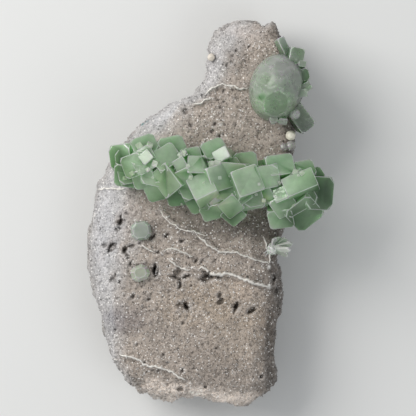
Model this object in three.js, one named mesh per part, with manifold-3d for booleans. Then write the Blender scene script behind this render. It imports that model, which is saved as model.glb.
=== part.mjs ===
// Apophyllite specimen: a slab of cavity rock with a drusy face, lying on its back.
// Pale green apophyllite crystals grow on it: a band across the middle, a large crystal with its
// neighbours at the upper right, and two small ones that stand alone on the left.
// Millimetres. +X to the right across the slab, +Y along it towards the narrow neck, +Z up out of the face.

import * as THREE from 'three';
import { ConvexGeometry } from 'three/addons/geometries/ConvexGeometry.js';
import { ImprovedNoise } from 'three/addons/math/ImprovedNoise.js';
import { mergeVertices } from 'three/addons/utils/BufferGeometryUtils.js';
import Module from 'manifold-3d';

const wasm = await Module();
wasm.setup();

// Driving dimensions
const FACE_HEIGHT = 35; // the drusy face above the surface that the slab lies on
const RIM_HEIGHT = 17; // where the slab is widest; below it the broken back draws in
const RIM_WANDER = 9; // how far the rim strays up and down round the slab
const RIM_GROWTH = 1.6; // how far the rough rock stands past its outline before that trims it
const UNDERCUT = 0.42; // how far the back draws in for each millimetre below the rim
const OVERCUT = 0.14; // and the side above it
const ROCK_CELL = 6.3; // facet size of the rock
const CREASE_ROUNDING = 3; // over the creases between the face and its slopes
const DOME_ALONG = 0.0006; // how fast the face falls off along the slab, for each millimetre squared
const DOME_ACROSS = 0.0009; // and across it
const DOME_MIDDLE = [-4, -10];
const BACK_WANDER = 3; // how far the broken back strays up and down before the flat bed trims it
const FACE_LUMPS = 0.9; // height of the lumps on the face
const SIDE_LUMPS = 2.2; // and on the broken sides
const BROAD_LUMP = 16; // size of the broad lumps
const SHARP_LUMP = 9.4; // and of the creased ones
const GROWTH_GAP = 0.45; // room between the rock and what grows on it
const RIDGE_RADIUS = 0.75; // the thin pale veins that stand out of the face
const RIDGE_RISE = 0.6; // of a vein's middle above the face
const RIDGE_STEP = 7.8; // length of one straight stretch of a vein
const HOLD = 4; // how deep a crystal or a blade is set into the rock
const DEEPEST = 21; // the longest crystal, foot and all

// The slab's outline, seen from above, clockwise from the top left of the neck
const OUTLINE = [
  [5.6, 76], [8, 76.8], [19.2, 75.6], [21.2, 73.6], [24.8, 76], [26.8, 74], [28, 70], [30.8, 64],
  [33.2, 57.6], [34.8, 48.8], [34.4, 40], [34, 32.8], [33.2, 24.8], [31.2, 16.8], [30.4, 4.8], [30, -5.2],
  [29.2, -10.4], [26.8, -15.2], [26, -20], [28.4, -24.4], [28.8, -30.4], [28, -40], [26, -43.6],
  [26, -51.2], [25.2, -58.8], [28.8, -62], [28.4, -66], [23.2, -71.6], [17.6, -75.2], [12.8, -77.6],
  [7.2, -76], [0, -75.2], [-6, -73.2], [-10.4, -75.2], [-15.2, -76.8], [-20, -74.8], [-25.2, -71.6],
  [-28, -72], [-31.6, -68.8], [-37.2, -62], [-39.6, -56], [-42.4, -49.2], [-42.4, -44.8], [-44.4, -36.8],
  [-47.2, -28.8], [-48.8, -21.6], [-49.2, -15.2], [-48.8, -6.4], [-46.8, 0.8], [-44.8, 8], [-45.6, 11.2],
  [-41.6, 17.6], [-40, 22], [-33.6, 28], [-28.8, 34], [-24, 37.6], [-16, 42.8], [-11.2, 44.4], [-6.8, 46],
  [-4.8, 50], [-2, 52], [-0.4, 55.2], [-0.4, 59.2], [-1.2, 62.4], [-0.8, 65.2], [1.2, 68], [1.2, 71.2],
  [3.2, 72.8], [4.8, 74],
];

// Slopes that fall away from the face: a point on the crease, the way down, the fall per millimetre, and
// for a slope that is only at one end of the slab, where along Y it begins and where it is fully there
const SLOPES = [
  { from: [-33.5, -12], down: [-0.99, 0.13], fall: 0.85 }, // the broad pale left side
  { from: [-12, 36.5], down: [-0.76, 0.65], fall: 0.8 }, // the shoulder left of the neck
  { from: [23.6, -20], down: [1, 0], fall: 1.7, begins: 14, full: 2 }, // the right side below the band
  { from: [0, -67], down: [0, -1], fall: 0.8 }, // the lower end
  { from: [0, 70.5], down: [0, 1], fall: 0.9 }, // the top of the neck
  { from: [4.2, 60], down: [-1, 0], fall: 0.75, begins: 44, full: 54 }, // the neck's left side
];

// The pale veins, each a line of points along the face
const RIDGES = [
  [[-20, 1.6], [-17.6, -1.6], [-12, -6.2], [-7.2, -6.8], [-4.8, -8.8], [-0.8, -12.4], [4.4, -15.8],
    [10.8, -16], [17.6, -18.4], [24, -20.2]],
  [[-26.8, -12.9], [-24.7, -14.8], [-21.5, -16.1], [-17.2, -14.8], [-11.8, -15], [-6.5, -17.7]],
  [[-16.2, -18.3], [-12.2, -21], [-7.6, -23.1], [-5.4, -23.7], [-2.9, -22], [1, -24.2], [6.7, -24.2],
    [11, -25.6], [17.1, -27.8], [23.5, -29.9]],
  [[-35.8, -56.3], [-31.2, -57.3], [-27.6, -59.4], [-24.5, -61.4], [-19.4, -61.9], [-15.4, -63.4],
    [-10.2, -67]],
  [[15.5, 49.2], [11.7, 48.9], [8.9, 49.9], [5.3, 50.7], [3.3, 50.2], [0.2, 48.6], [-2.4, 47.1]],
  [[1.7, 45.3], [-1.6, 44.3], [-4.9, 43], [-7.2, 42.5]],
  [[-44.6, 10.2], [-41, 9.4], [-37, 9.8], [-31, 9.6]],
];

// Pits and vugs in the face: place, half sizes across and along, and depth
const PITS = [
  { at: [-22, -24], half: [1, 2.3], depth: 6 },
  { at: [-12.6, -24], half: [2.6, 1.8], depth: 2.6 },
  { at: [-1, -25], half: [2.6, 1.3], depth: 2.6 },
  { at: [-9.2, -36.8], half: [1.8, 1.5], depth: 2.4 },
  { at: [4.4, -35.2], half: [0.9, 2.1], depth: 2.2 },
  { at: [10.8, -37.2], half: [2.2, 1.2], depth: 2.6 },
  { at: [-39.2, -13.8], half: [2.2, 1.2], depth: 2 },
  { at: [-35.8, -4], half: [1.2, 2.6], depth: 2.2 },
  { at: [-33.6, -15], half: [1.6, 1.8], depth: 2.2 },
  { at: [-38, -25.6], half: [1.5, 1.7], depth: 1.8 },
  { at: [25.4, -27.2], half: [1.1, 1.8], depth: 2 },
  { at: [26.4, -31.8], half: [1.1, 1.9], depth: 2 },
  { at: [0.8, 31.8], half: [0.8, 1.6], depth: 2.2 },
  { at: [9.4, 21.6], half: [1.3, 2.2], depth: 2.4 },
];

// Crystals of the band, which is rounded like a log: its crest runs along the middle and the crystals lean
// outwards from it. at: middle of the top face, seen from above; top: its height above the slab's bed;
// size: across and along the top face before its corners are cut; spin: about the crystal's own axis;
// lean: tilt and the way it leans; cut: how much of an edge the corner faces take;
// free: the depth of one that hangs over the slab's edge
const BAND = [
  // the heart, which fills the gaps between the others
  { at: [-29.5, 18.6], top: 44.4, size: [15, 14], spin: 10, lean: [10, 180], cut: 0.15 },
  { at: [-18.5, 16.6], top: 47.4, size: [16, 14], spin: -12, lean: [6, 150], cut: 0.15 },
  { at: [-6, 13.2], top: 49.6, size: [15, 14], spin: 24, lean: [5, 200], cut: 0.15 },
  { at: [7, 12], top: 50, size: [16, 15], spin: -5, lean: [6, 250], cut: 0.15 },
  { at: [20, 10.2], top: 50, size: [16, 15], spin: 12, lean: [6, 280], cut: 0.15 },
  { at: [33, 7], top: 48.6, size: [15, 15], spin: 30, lean: [8, 310], cut: 0.15, free: 14 },
  // left end
  { at: [-35.6, 21.4], top: 43, size: [9.6, 10.6], spin: 8, lean: [30, 192], cut: 0.24 },
  { at: [-32.2, 13.8], top: 43.4, size: [12, 9.4], spin: -6, lean: [28, 235], cut: 0.16 },
  { at: [-30.4, 18.2], top: 46.6, size: [9, 9], spin: 20, lean: [20, 200], cut: 0.16 },
  { at: [-25.8, 26.6], top: 44.8, size: [10, 9], spin: 22, lean: [34, 100], cut: 0.2 },
  { at: [-25.3, 21.7], top: 49.4, size: [5, 4.8], spin: 41, lean: [22, 150], cut: 0.05 },
  { at: [-26, 20.4], top: 47.8, size: [9.8, 9.6], spin: 30, lean: [14, 165], cut: 0.16 },
  { at: [-26.2, 12.6], top: 46.2, size: [9, 8], spin: 12, lean: [28, 245], cut: 0.16 },
  // left middle
  { at: [-14.8, 26.4], top: 45, size: [10.4, 9], spin: 18, lean: [36, 85], cut: 0.2 },
  { at: [-17.4, 21.8], top: 48.8, size: [10.6, 9], spin: 34, lean: [22, 100], cut: 0.14 },
  { at: [-11.9, 18.8], top: 50.8, size: [5, 4.8], spin: 31, lean: [14, 190], cut: 0.06 },
  { at: [-10.8, 22.8], top: 49.4, size: [3.8, 2.6], spin: 30, lean: [20, 130], cut: 0.06 },
  { at: [-17.6, 12.2], top: 49.4, size: [9.4, 11.6], spin: 38, lean: [30, 208], cut: 0.08 },
  { at: [-21.6, 7.8], top: 45.4, size: [9, 8], spin: 20, lean: [34, 235], cut: 0.16 },
  { at: [-10.4, 12.2], top: 50.2, size: [8.6, 9], spin: 28, lean: [22, 245], cut: 0.1 },
  { at: [-12.4, 5.6], top: 45.6, size: [9.6, 8], spin: 12, lean: [36, 262], cut: 0.16 },
  // crest
  { at: [-5, 18.8], top: 51, size: [7.8, 7.2], spin: -2, lean: [20, 85], cut: 0.1 },
  { at: [-3.4, 10.6], top: 53, size: [9.6, 9.8], spin: 26, lean: [24, 118], cut: 0.07 },
  { at: [-5.2, 3], top: 46.8, size: [8.6, 8], spin: 24, lean: [36, 245], cut: 0.14 },
  { at: [4, 13.6], top: 51.8, size: [9.6, 10.2], spin: 18, lean: [26, 18], cut: 0.1 },
  { at: [1.6, 25.2], top: 45.6, size: [9.6, 8.6], spin: 25, lean: [34, 95], cut: 0.18 },
  { at: [4.2, 22.6], top: 49.2, size: [6.2, 5.2], spin: 27, lean: [22, 150], cut: 0.06 },
  { at: [14.8, 12.4], top: 54, size: [10.8, 11], spin: 20, lean: [15, 62], cut: 0.08 },
  { at: [10.4, 7.6], top: 49.8, size: [10.2, 10.6], spin: 36, lean: [27, 222], cut: 0.12 },
  { at: [15.6, 4.6], top: 49.8, size: [11, 9.2], spin: 14, lean: [34, 262], cut: 0.16 },
  { at: [14, 20.4], top: 47, size: [9.2, 8], spin: 8, lean: [32, 92], cut: 0.2 },
  { at: [22.2, 13.8], top: 51.6, size: [8.6, 9.2], spin: 12, lean: [20, 28], cut: 0.08 },
  { at: [-7.4, 22.2], top: 47.8, size: [8.2, 7.4], spin: 12, lean: [26, 90], cut: 0.14 },
  { at: [8.8, 17.8], top: 49, size: [7, 6.6], spin: 30, lean: [22, 100], cut: 0.12 },
  // right end
  { at: [27.6, 18.8], top: 48.4, size: [11.2, 9], spin: 10, lean: [28, 75], cut: 0.14 },
  { at: [35, 11.8], top: 52, size: [13, 8], spin: 23, lean: [18, 112], cut: 0.06, free: 14 },
  { at: [37.4, 17.4], top: 46.4, size: [8.4, 7], spin: 15, lean: [32, 60], cut: 0.18, free: 10 },
  { at: [42.2, 15], top: 43.4, size: [5.8, 5.4], spin: 32, lean: [28, 50], cut: 0.18, free: 8 },
  { at: [27.4, 6.9], top: 51, size: [5.6, 5.4], spin: 22, lean: [16, 150], cut: 0.08 },
  { at: [21.4, 5.6], top: 49.8, size: [7.8, 7.4], spin: 30, lean: [26, 270], cut: 0.12 },
  { at: [43.4, 7.4], top: 46, size: [12.6, 13.2], spin: -4, lean: [32, 350], cut: 0.2, free: 13 },
  { at: [37.2, -0.8], top: 46.2, size: [12.6, 12.6], spin: 40, lean: [34, 300], cut: 0.16, free: 13 },
  { at: [27.8, -3], top: 46.4, size: [10, 8.6], spin: 10, lean: [34, 265], cut: 0.14 },
  { at: [29, 2.6], top: 49.4, size: [9.4, 8.4], spin: 34, lean: [22, 285], cut: 0.1 },
  // lower edge
  { at: [8.2, 2], top: 48.2, size: [8.2, 8], spin: 40, lean: [26, 262], cut: 0.1 },
  { at: [9.2, -1.4], top: 45.4, size: [7.8, 8], spin: 46, lean: [30, 270], cut: 0.1 },
  { at: [1, -0.4], top: 45.6, size: [9.4, 7], spin: 20, lean: [36, 265], cut: 0.14 },
];

// The large crystal at the upper right: an egg-shaped dome of parallel growth with flat faces cut on it
const LARGE_CRYSTAL = { at: [26.4, 49.2, 34], half: [10.8, 13.6, 17], spin: -15 };
const LARGE_CRYSTAL_FACES = [
  { through: [25, 45.8, 49.4], facing: [0.03, -0.66, 0.75] }, // the flat lower face
  { through: [20.4, 56, 43.4], facing: [-0.62, 0.46, 0.64] }, // upper left
  { through: [34.6, 50, 43.6], facing: [0.72, 0.1, 0.68] }, // right
  { through: [30, 58.6, 43.4], facing: [0.3, 0.6, 0.74] }, // top
  { through: [17.2, 46, 42], facing: [-0.93, -0.1, 0.35] }, // left
];

// Small crystals round the large one, in the same terms as the band
const LARGE_CRYSTAL_NEIGHBOURS = [
  { at: [34.4, 61.8], top: 40, size: [6, 6.6], spin: -12, lean: [14, 30], cut: 0.2, free: 9 },
  { at: [36.6, 58.6], top: 40.4, size: [3.2, 2.4], spin: -5, lean: [10, 20], cut: 0.1, free: 7 },
  { at: [37.2, 54.2], top: 39.4, size: [4.6, 5], spin: 12, lean: [20, 0], cut: 0.24, free: 8 },
  { at: [38, 49.2], top: 41, size: [4.4, 3.6], spin: 30, lean: [14, 350], cut: 0.14, free: 8 },
  { at: [36.6, 46.8], top: 42.2, size: [4, 3.2], spin: 8, lean: [12, 330], cut: 0.14, free: 8 },
  { at: [29.6, 65.6], top: 36.5, size: [3, 8], spin: 26, lean: [12, 30], cut: 0.16, free: 8 },
  { at: [25.2, 36.2], top: 41.5, size: [3.4, 3], spin: 24, lean: [20, 270], cut: 0.14 },
  { at: [28.8, 35.6], top: 41, size: [3.4, 2.6], spin: -10, lean: [22, 290], cut: 0.12 },
  { at: [36.4, 37], top: 36.4, size: [7, 11], spin: 38, lean: [18, 330], cut: 0.18, free: 10 },
];
const LARGE_CRYSTAL_BEAD = { at: [33.4, 38.8, 38], radius: 2.4 };

// Single crystals on the face: eight-sided plates, in the same terms again, and with a sloping rim round
// the top face, of which rim is the share of the plate's half width that it takes
const SMALL_CRYSTALS = {
  small_crystal_upper: { at: [-27.5, -7.2], top: 37, size: [8.8, 8.4], spin: 6, lean: [7, 140], rim: 0.22 },
  small_crystal_lower: { at: [-27.6, -24], top: 36.6, size: [8.2, 7], spin: 20, lean: [6, 60], rim: 0.4 },
};
const RIM_FALL = 1.2; // of that rim
const PLATE_SKEW = 4; // degrees by which a plate's corners are drawn together in pairs

// Round beads at the slab's edges: place, height of the centre, radius
const CREAM_BEADS = {
  cream_bead_right: { at: [32, 30.4, 31.7], radius: 2.1 },
  cream_bead_left: { at: [0.6, 61.6, 26], radius: 1.7 },
};
const GREY_BEADS = [
  { at: [32, 26.2, 32.4], radius: 2.1 },
  { at: [29.2, 25.8, 33.6], radius: 1.6 },
];

// A spray of thin blades at the right edge, under the band
const BLADE_ROOT = [24.6, -14.6, 31];
const BLADE_KNOB = 2.6; // radius of the knob that the blades spring from
const BLADE_COUNT = 6;
const BLADE_LENGTH = 9;
const BLADE_WIDTH = 2.6;
const BLADE_THICKNESS = 0.9;
const BLADE_FAN = 96; // degrees from the first blade to the last
const BLADE_FIRST = -22; // degrees from +X of the first blade
const BLADE_ROLL = 50; // degrees that each blade is turned about its own length
const BLADE_RISE = [14, 22]; // degrees that they point up: the mean, and how far they differ from it

// Colours read from the specimen
const COLOURS = {
  rock: { color: 0xa3998f, roughness: 0.85, metalness: 0 },
  apophyllite: { color: 0x93b08e, roughness: 0.15, metalness: 0 },
  cream: { color: 0xe2dcc8, roughness: 0.6, metalness: 0 },
  grey: { color: 0x7d7c7d, roughness: 0.2, metalness: 0 },
  blade: { color: 0xc9c8be, roughness: 0.25, metalness: 0 },
};

const noise = new ImprovedNoise();
const radians = THREE.MathUtils.degToRad;

// Turns a closed geometry into a solid that can be joined and cut
function solidOf(geometry) {
  const bare = new THREE.BufferGeometry().setAttribute('position', geometry.getAttribute('position').clone());
  if (geometry.index) bare.setIndex(geometry.index);
  const merged = mergeVertices(bare, 1e-4);
  return new wasm.Manifold(new wasm.Mesh({
    numProp: 3,
    vertProperties: merged.getAttribute('position').array,
    triVerts: new Uint32Array(merged.index.array),
  }));
}

// Turns a solid back into a geometry with flat facets
function geometryOf(solid) {
  const { vertProperties, triVerts, numProp } = solid.getMesh();
  const positions = new Float32Array((vertProperties.length / numProp) * 3);
  for (let i = 0; i < positions.length / 3; i++) {
    positions.set(vertProperties.subarray(i * numProp, i * numProp + 3), i * 3);
  }
  const geometry = new THREE.BufferGeometry();
  geometry.setAttribute('position', new THREE.BufferAttribute(positions, 3));
  geometry.setIndex(new THREE.BufferAttribute(new Uint32Array(triVerts), 1));
  const faceted = geometry.toNonIndexed();
  faceted.computeVertexNormals();
  return faceted;
}

const join = (solids) => solids.reduce((all, one) => all.add(one));

// Signed distance from a point to the slab's outline, negative inside
function outlineDistance(x, y) {
  let nearest = Infinity;
  let inside = false;
  OUTLINE.forEach(([ax, ay], i) => {
    const [bx, by] = OUTLINE[(i + 1) % OUTLINE.length];
    const [ex, ey] = [bx - ax, by - ay];
    const along = THREE.MathUtils.clamp(((x - ax) * ex + (y - ay) * ey) / (ex * ex + ey * ey), 0, 1);
    nearest = Math.min(nearest, Math.hypot(x - ax - along * ex, y - ay - along * ey));
    if (ay > y !== by > y && x < ((bx - ax) * (y - ay)) / (by - ay) + ax) inside = !inside;
  });
  return inside ? -nearest : nearest;
}

// The larger of two distances, rounded over where they meet
function roundMax(a, b, radius) {
  const overlap = Math.max(radius - Math.abs(a - b), 0) / radius;
  return Math.max(a, b) + (overlap * overlap * radius) / 4;
}

// Height of the drusy face, before its lumps: a gentle dome with the slopes taken off it
function faceHeight(x, y) {
  const [middleX, middleY] = DOME_MIDDLE;
  const dome = FACE_HEIGHT - DOME_ALONG * (y - middleY) ** 2 - DOME_ACROSS * (x - middleX) ** 2;
  return SLOPES.reduce((height, { from, down, fall, begins, full }) => {
    const past = (x - from[0]) * down[0] + (y - from[1]) * down[1];
    const share = begins === undefined ? 1 : THREE.MathUtils.clamp((y - begins) / (full - begins), 0, 1);
    return -roundMax(-height, share * fall * past - dome, CREASE_ROUNDING);
  }, dome);
}

// Lumps of the rock at two scales, the smaller with sharp creases; the broken sides are the roughest
function lumps(x, y, z) {
  const sideways = THREE.MathUtils.smoothstep(FACE_HEIGHT - z, 3, 12);
  const strength = THREE.MathUtils.lerp(FACE_LUMPS, SIDE_LUMPS, sideways);
  const broad = noise.noise(x / BROAD_LUMP, y / BROAD_LUMP, z / BROAD_LUMP);
  const sharp = 0.5 - 2 * Math.abs(noise.noise(x / SHARP_LUMP + 40, y / SHARP_LUMP, z / SHARP_LUMP));
  return strength * (broad + 0.8 * sharp);
}

// Signed distance to the rock, roughly: its face, its sides with the undercut, and its uneven back
function rockField(x, y, z) {
  const rim = RIM_HEIGHT + RIM_WANDER * noise.noise(x / 24, y / 24, 3);
  const drawnIn = UNDERCUT * Math.max(rim - z, 0) + OVERCUT * Math.max(z - rim, 0);
  const face = (z - faceHeight(x, y)) * 0.8;
  const side = outlineDistance(x, y) - RIM_GROWTH + drawnIn;
  const back = BACK_WANDER * (noise.noise(x / 21, y / 21, 7) - 1) - z;
  return roundMax(roundMax(face, side, 4), back, 3) + lumps(x, y, z);
}

// Closed surface where a field is zero: one vertex in each cell that it crosses, and one quad for each
// grid edge that it crosses, between the four cells round that edge
function surfaceNet(field, low, high, cell) {
  const counts = low.map((v, i) => Math.ceil((high[i] - v) / cell) + 1);
  const strides = [1, counts[0], counts[0] * counts[1]];
  const values = new Float32Array(counts[0] * counts[1] * counts[2]);
  const corner = (i, j, k) => i + j * strides[1] + k * strides[2];
  const each = (visit) => {
    for (let k = 0; k < counts[2]; k++) {
      for (let j = 0; j < counts[1]; j++) {
        for (let i = 0; i < counts[0]; i++) visit([i, j, k], corner(i, j, k));
      }
    }
  };
  each(([i, j, k], at) => {
    values[at] = field(low[0] + i * cell, low[1] + j * cell, low[2] + k * cell);
  });

  // A grid square that is solid at two opposite corners only would pinch the surface: a third is filled
  let pinched = true;
  while (pinched) {
    pinched = false;
    each((place, at) => {
      for (const [u, v] of [[0, 1], [1, 2], [0, 2]]) {
        if (place[u] + 1 >= counts[u] || place[v] + 1 >= counts[v]) continue;
        const [a, b, c, d] = [at, at + strides[u], at + strides[u] + strides[v], at + strides[v]];
        if (values[a] < 0 !== values[c] < 0 || values[b] < 0 !== values[d] < 0) continue;
        if (values[a] < 0 === values[b] < 0) continue;
        const open = values[a] < 0 ? [b, d] : [a, c];
        const fainter = values[open[0]] < values[open[1]] ? open[0] : open[1];
        values[fainter] *= -1;
        pinched = true;
      }
    });
  }

  const positions = [];
  const vertexOf = new Map();
  each((place, at) => {
    if (place.some((p, axis) => p + 1 >= counts[axis])) return;
    const sum = [0, 0, 0];
    let crossings = 0;
    for (let axis = 0; axis < 3; axis++) {
      const others = [0, 1, 2].filter((a) => a !== axis);
      for (const [u, v] of [[0, 0], [1, 0], [0, 1], [1, 1]]) {
        const start = at + u * strides[others[0]] + v * strides[others[1]];
        const [a, b] = [values[start], values[start + strides[axis]]];
        if (a < 0 === b < 0) continue;
        sum[axis] += a / (a - b);
        sum[others[0]] += u;
        sum[others[1]] += v;
        crossings++;
      }
    }
    if (!crossings) return;
    vertexOf.set(at, positions.length / 3);
    positions.push(...sum.map((s, axis) => low[axis] + (place[axis] + s / crossings) * cell));
  });

  const index = [];
  each((place, at) => {
    for (let axis = 0; axis < 3; axis++) {
      const [u, v] = [(axis + 1) % 3, (axis + 2) % 3];
      if (place[axis] + 1 >= counts[axis] || !place[u] || !place[v]) continue;
      const [a, b] = [values[at], values[at + strides[axis]]];
      if (a < 0 === b < 0) continue;
      const cells = [at - strides[u] - strides[v], at - strides[v], at, at - strides[u]];
      const ring = cells.map((around) => vertexOf.get(around));
      if (b < 0) ring.reverse();
      index.push(ring[0], ring[1], ring[2], ring[0], ring[2], ring[3]);
    }
  });
  const geometry = new THREE.BufferGeometry();
  geometry.setAttribute('position', new THREE.Float32BufferAttribute(positions, 3));
  geometry.setIndex(index);
  return geometry;
}

const rockLow = [-56, -84, -8.6];
const rockHigh = [42, 84, 48];
const rockNet = surfaceNet(rockField, rockLow, rockHigh, ROCK_CELL);
const ground = new THREE.Mesh(rockNet);

// Finds the rock's own height under a place
function groundAt(x, y) {
  const ray = new THREE.Raycaster(new THREE.Vector3(x, y, rockHigh[2]), new THREE.Vector3(0, 0, -1));
  return ray.intersectObject(ground)[0].point.z;
}

// One vein: a thin rib along the face, half sunk in it
function ridgeSolid(points, radius) {
  const plan = new THREE.CatmullRomCurve3(points.map(([x, y]) => new THREE.Vector3(x, y, 0)));
  const steps = Math.ceil(plan.getLength() / RIDGE_STEP);
  const path = new THREE.CatmullRomCurve3(
    plan.getSpacedPoints(steps).map(({ x, y }) => new THREE.Vector3(x, y, groundAt(x, y) + RIDGE_RISE)),
  );
  const section = new THREE.Shape(new THREE.EllipseCurve(0, 0, radius, radius).getPoints(3).slice(0, -1));
  return solidOf(new THREE.ExtrudeGeometry(section, { extrudePath: path, steps, bevelEnabled: false }));
}

// One pit: a faceted bubble let into the face
function pitSolid({ at, half, depth }) {
  const bubble = new THREE.IcosahedronGeometry(1.1, 0);
  bubble.scale(half[0], half[1], depth);
  bubble.rotateZ(at[0] * at[1]);
  bubble.translate(at[0], at[1], groundAt(...at));
  return solidOf(bubble);
}

// Turns a crystal about its own axis, leans it over and sets the middle of its top face in its place
function stood(block, { at, top, spin, lean }) {
  const [tilt, towards] = lean.map(radians);
  block.rotateZ(radians(spin));
  const hinge = new THREE.Vector3(-Math.sin(towards), Math.cos(towards), 0);
  block.applyMatrix4(new THREE.Matrix4().makeRotationAxis(hinge, tilt));
  block.translate(at[0], at[1], top);
  return solidOf(block);
}

// One apophyllite crystal: a square block with its corners cut by pyramid faces; the foot of a block that
// stands in the rock is left square, and one that hangs over the edge has its lower corners cut too
function crystalSolid({ at, top, size, spin, lean, cut, free }) {
  const slant = Math.cos(radians(lean[0]));
  const deep = free ?? Math.min((top - groundAt(...at) + HOLD) / slant, DEEPEST);
  const taken = cut * Math.min(...size);
  const points = [];
  for (const sx of [-1, 1]) {
    for (const sy of [-1, 1]) {
      const [x, y] = [(sx * size[0]) / 2, (sy * size[1]) / 2];
      const corners = free === undefined ? [[0, 1]] : [[0, 1], [-deep, -1]];
      for (const [z, sz] of corners) {
        points.push(new THREE.Vector3(x - sx * taken, y, z));
        points.push(new THREE.Vector3(x, y - sy * taken, z));
        points.push(new THREE.Vector3(x, y, z - sz * taken));
      }
      if (free === undefined) points.push(new THREE.Vector3(x, y, -deep));
    }
  }
  return stood(new ConvexGeometry(points), { at, top, spin, lean });
}

// One of the plates that stand alone: rings of eight corners at the top face, under its rim and at the foot
function plateSolid({ at, top, size, spin, lean, rim }) {
  const rings = [[1 - rim, 0], [1, -RIM_FALL], [1, groundAt(...at) - HOLD - top]];
  const points = [];
  for (let i = 0; i < 8; i++) {
    const angle = radians(45 * i + 22.5 + (i % 2 ? -PLATE_SKEW : PLATE_SKEW));
    for (const [share, z] of rings) {
      const [x, y] = [(size[0] / 2) * Math.cos(angle), (size[1] / 2) * Math.sin(angle)];
      points.push(new THREE.Vector3(share * x, share * y, z));
    }
  }
  return stood(new ConvexGeometry(points), { at, top, spin, lean });
}

// The large crystal: the dome less a block outside each of its flat faces
function largeCrystalSolid() {
  const dome = new THREE.IcosahedronGeometry(1, 2);
  dome.scale(...LARGE_CRYSTAL.half);
  dome.rotateZ(radians(LARGE_CRYSTAL.spin));
  dome.translate(...LARGE_CRYSTAL.at);
  const blockSize = 60;
  const blocks = LARGE_CRYSTAL_FACES.map(({ through, facing }) => {
    const out = new THREE.Vector3(...facing).normalize();
    const block = new THREE.BoxGeometry(blockSize, blockSize, blockSize);
    block.translate(0, 0, blockSize / 2);
    block.applyQuaternion(new THREE.Quaternion().setFromUnitVectors(new THREE.Vector3(0, 0, 1), out));
    block.translate(...through);
    return solidOf(block);
  });
  return blocks.reduce((left, block) => left.subtract(block), solidOf(dome));
}

// A round bead with small facets
function beadSolid({ at, radius }) {
  const bead = new THREE.IcosahedronGeometry(radius, 1);
  bead.translate(...at);
  return solidOf(bead);
}

// One blade of the spray: a flat lath with a chisel tip, its root at the origin and its length along +X
function bladeSolid(turn, rise, length) {
  const lath = new THREE.Shape();
  lath.moveTo(-HOLD, -BLADE_WIDTH / 2);
  lath.lineTo(length - BLADE_WIDTH / 2, -BLADE_WIDTH / 2);
  lath.lineTo(length, -BLADE_WIDTH / 6);
  lath.lineTo(length - BLADE_WIDTH / 4, BLADE_WIDTH / 2);
  lath.lineTo(-HOLD, BLADE_WIDTH / 2);
  lath.closePath();
  const blade = new THREE.ExtrudeGeometry(lath, { depth: BLADE_THICKNESS, bevelEnabled: false });
  blade.translate(0, 0, -BLADE_THICKNESS / 2);
  blade.rotateX(radians(BLADE_ROLL));
  blade.rotateY(-radians(rise));
  blade.rotateZ(radians(turn));
  blade.translate(...BLADE_ROOT);
  return solidOf(blade);
}

// The slab: the rock trimmed to its outline, with its pits, its veins and a flat bed to lie on
function rockSolid() {
  const outline = new THREE.Shape(OUTLINE.map(([x, y]) => new THREE.Vector2(x, y)));
  const trim = new THREE.ExtrudeGeometry(outline, { depth: rockHigh[2] - rockLow[2], bevelEnabled: false });
  trim.translate(0, 0, rockLow[2]);
  const bedSpan = 2 * (rockHigh[1] - rockLow[1]);
  const below = new THREE.BoxGeometry(bedSpan, bedSpan, FACE_HEIGHT);
  below.translate(0, 0, -FACE_HEIGHT / 2);
  const pits = join(PITS.map(pitSolid));
  const ridges = join(RIDGES.map((points) => ridgeSolid(points, RIDGE_RADIUS)));
  return solidOf(rockNet).intersect(solidOf(trim)).subtract(solidOf(below)).subtract(pits).add(ridges);
}

// The rock grown by the gap, which trims everything that sits on it
function rockSkin() {
  const grown = (x, y, z) => rockField(x, y, z) - GROWTH_GAP;
  const ridges = join(RIDGES.map((points) => ridgeSolid(points, RIDGE_RADIUS + GROWTH_GAP)));
  return solidOf(surfaceNet(grown, rockLow, rockHigh, ROCK_CELL)).add(ridges);
}

const specimen = new THREE.Group();
specimen.name = 'apophyllite_specimen';

function addPiece(name, solid, colour) {
  const piece = new THREE.Mesh(geometryOf(solid), new THREE.MeshStandardMaterial(COLOURS[colour]));
  piece.name = name;
  specimen.add(piece);
}

const skin = rockSkin();
const onRock = (solids) => join(solids).subtract(skin);

addPiece('matrix', rockSolid(), 'rock');
addPiece('apophyllite_band', onRock(BAND.map(crystalSolid)), 'apophyllite');
const neighbours = LARGE_CRYSTAL_NEIGHBOURS.map(crystalSolid);
const upperCluster = [largeCrystalSolid(), ...neighbours, beadSolid(LARGE_CRYSTAL_BEAD)];
addPiece('upper_crystal_cluster', onRock(upperCluster), 'apophyllite');
for (const [name, crystal] of Object.entries(SMALL_CRYSTALS)) {
  addPiece(name, onRock([plateSolid(crystal)]), 'apophyllite');
}
for (const [name, bead] of Object.entries(CREAM_BEADS)) {
  addPiece(name, onRock([beadSolid(bead)]), 'cream');
}
addPiece('grey_beads', onRock(GREY_BEADS.map(beadSolid)), 'grey');
const blades = Array.from({ length: BLADE_COUNT }, (_, i) => {
  const share = i / (BLADE_COUNT - 1);
  const rise = BLADE_RISE[0] + BLADE_RISE[1] * Math.sin(7 * share);
  return bladeSolid(BLADE_FIRST + BLADE_FAN * share, rise, BLADE_LENGTH * (0.8 + 0.2 * Math.sin(5 * share)));
});
addPiece('blade_spray', onRock([beadSolid({ at: BLADE_ROOT, radius: BLADE_KNOB }), ...blades]), 'blade');

// The origin is at the middle of the specimen's box, on the surface that it lies on
const box = new THREE.Box3().setFromObject(specimen);
for (const piece of specimen.children) {
  piece.geometry.translate(-(box.min.x + box.max.x) / 2, -(box.min.y + box.max.y) / 2, -box.min.z);
}

export default specimen;
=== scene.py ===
# Looks of an apophyllite specimen that lies on its back, seen from straight above.
# Metres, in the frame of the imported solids: +X across the slab, +Y to its narrow neck, +Z out of its face.
# Lists of places are in millimetres on the slab's own drawing, which on_slab() moves into the frame.
import math

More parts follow.
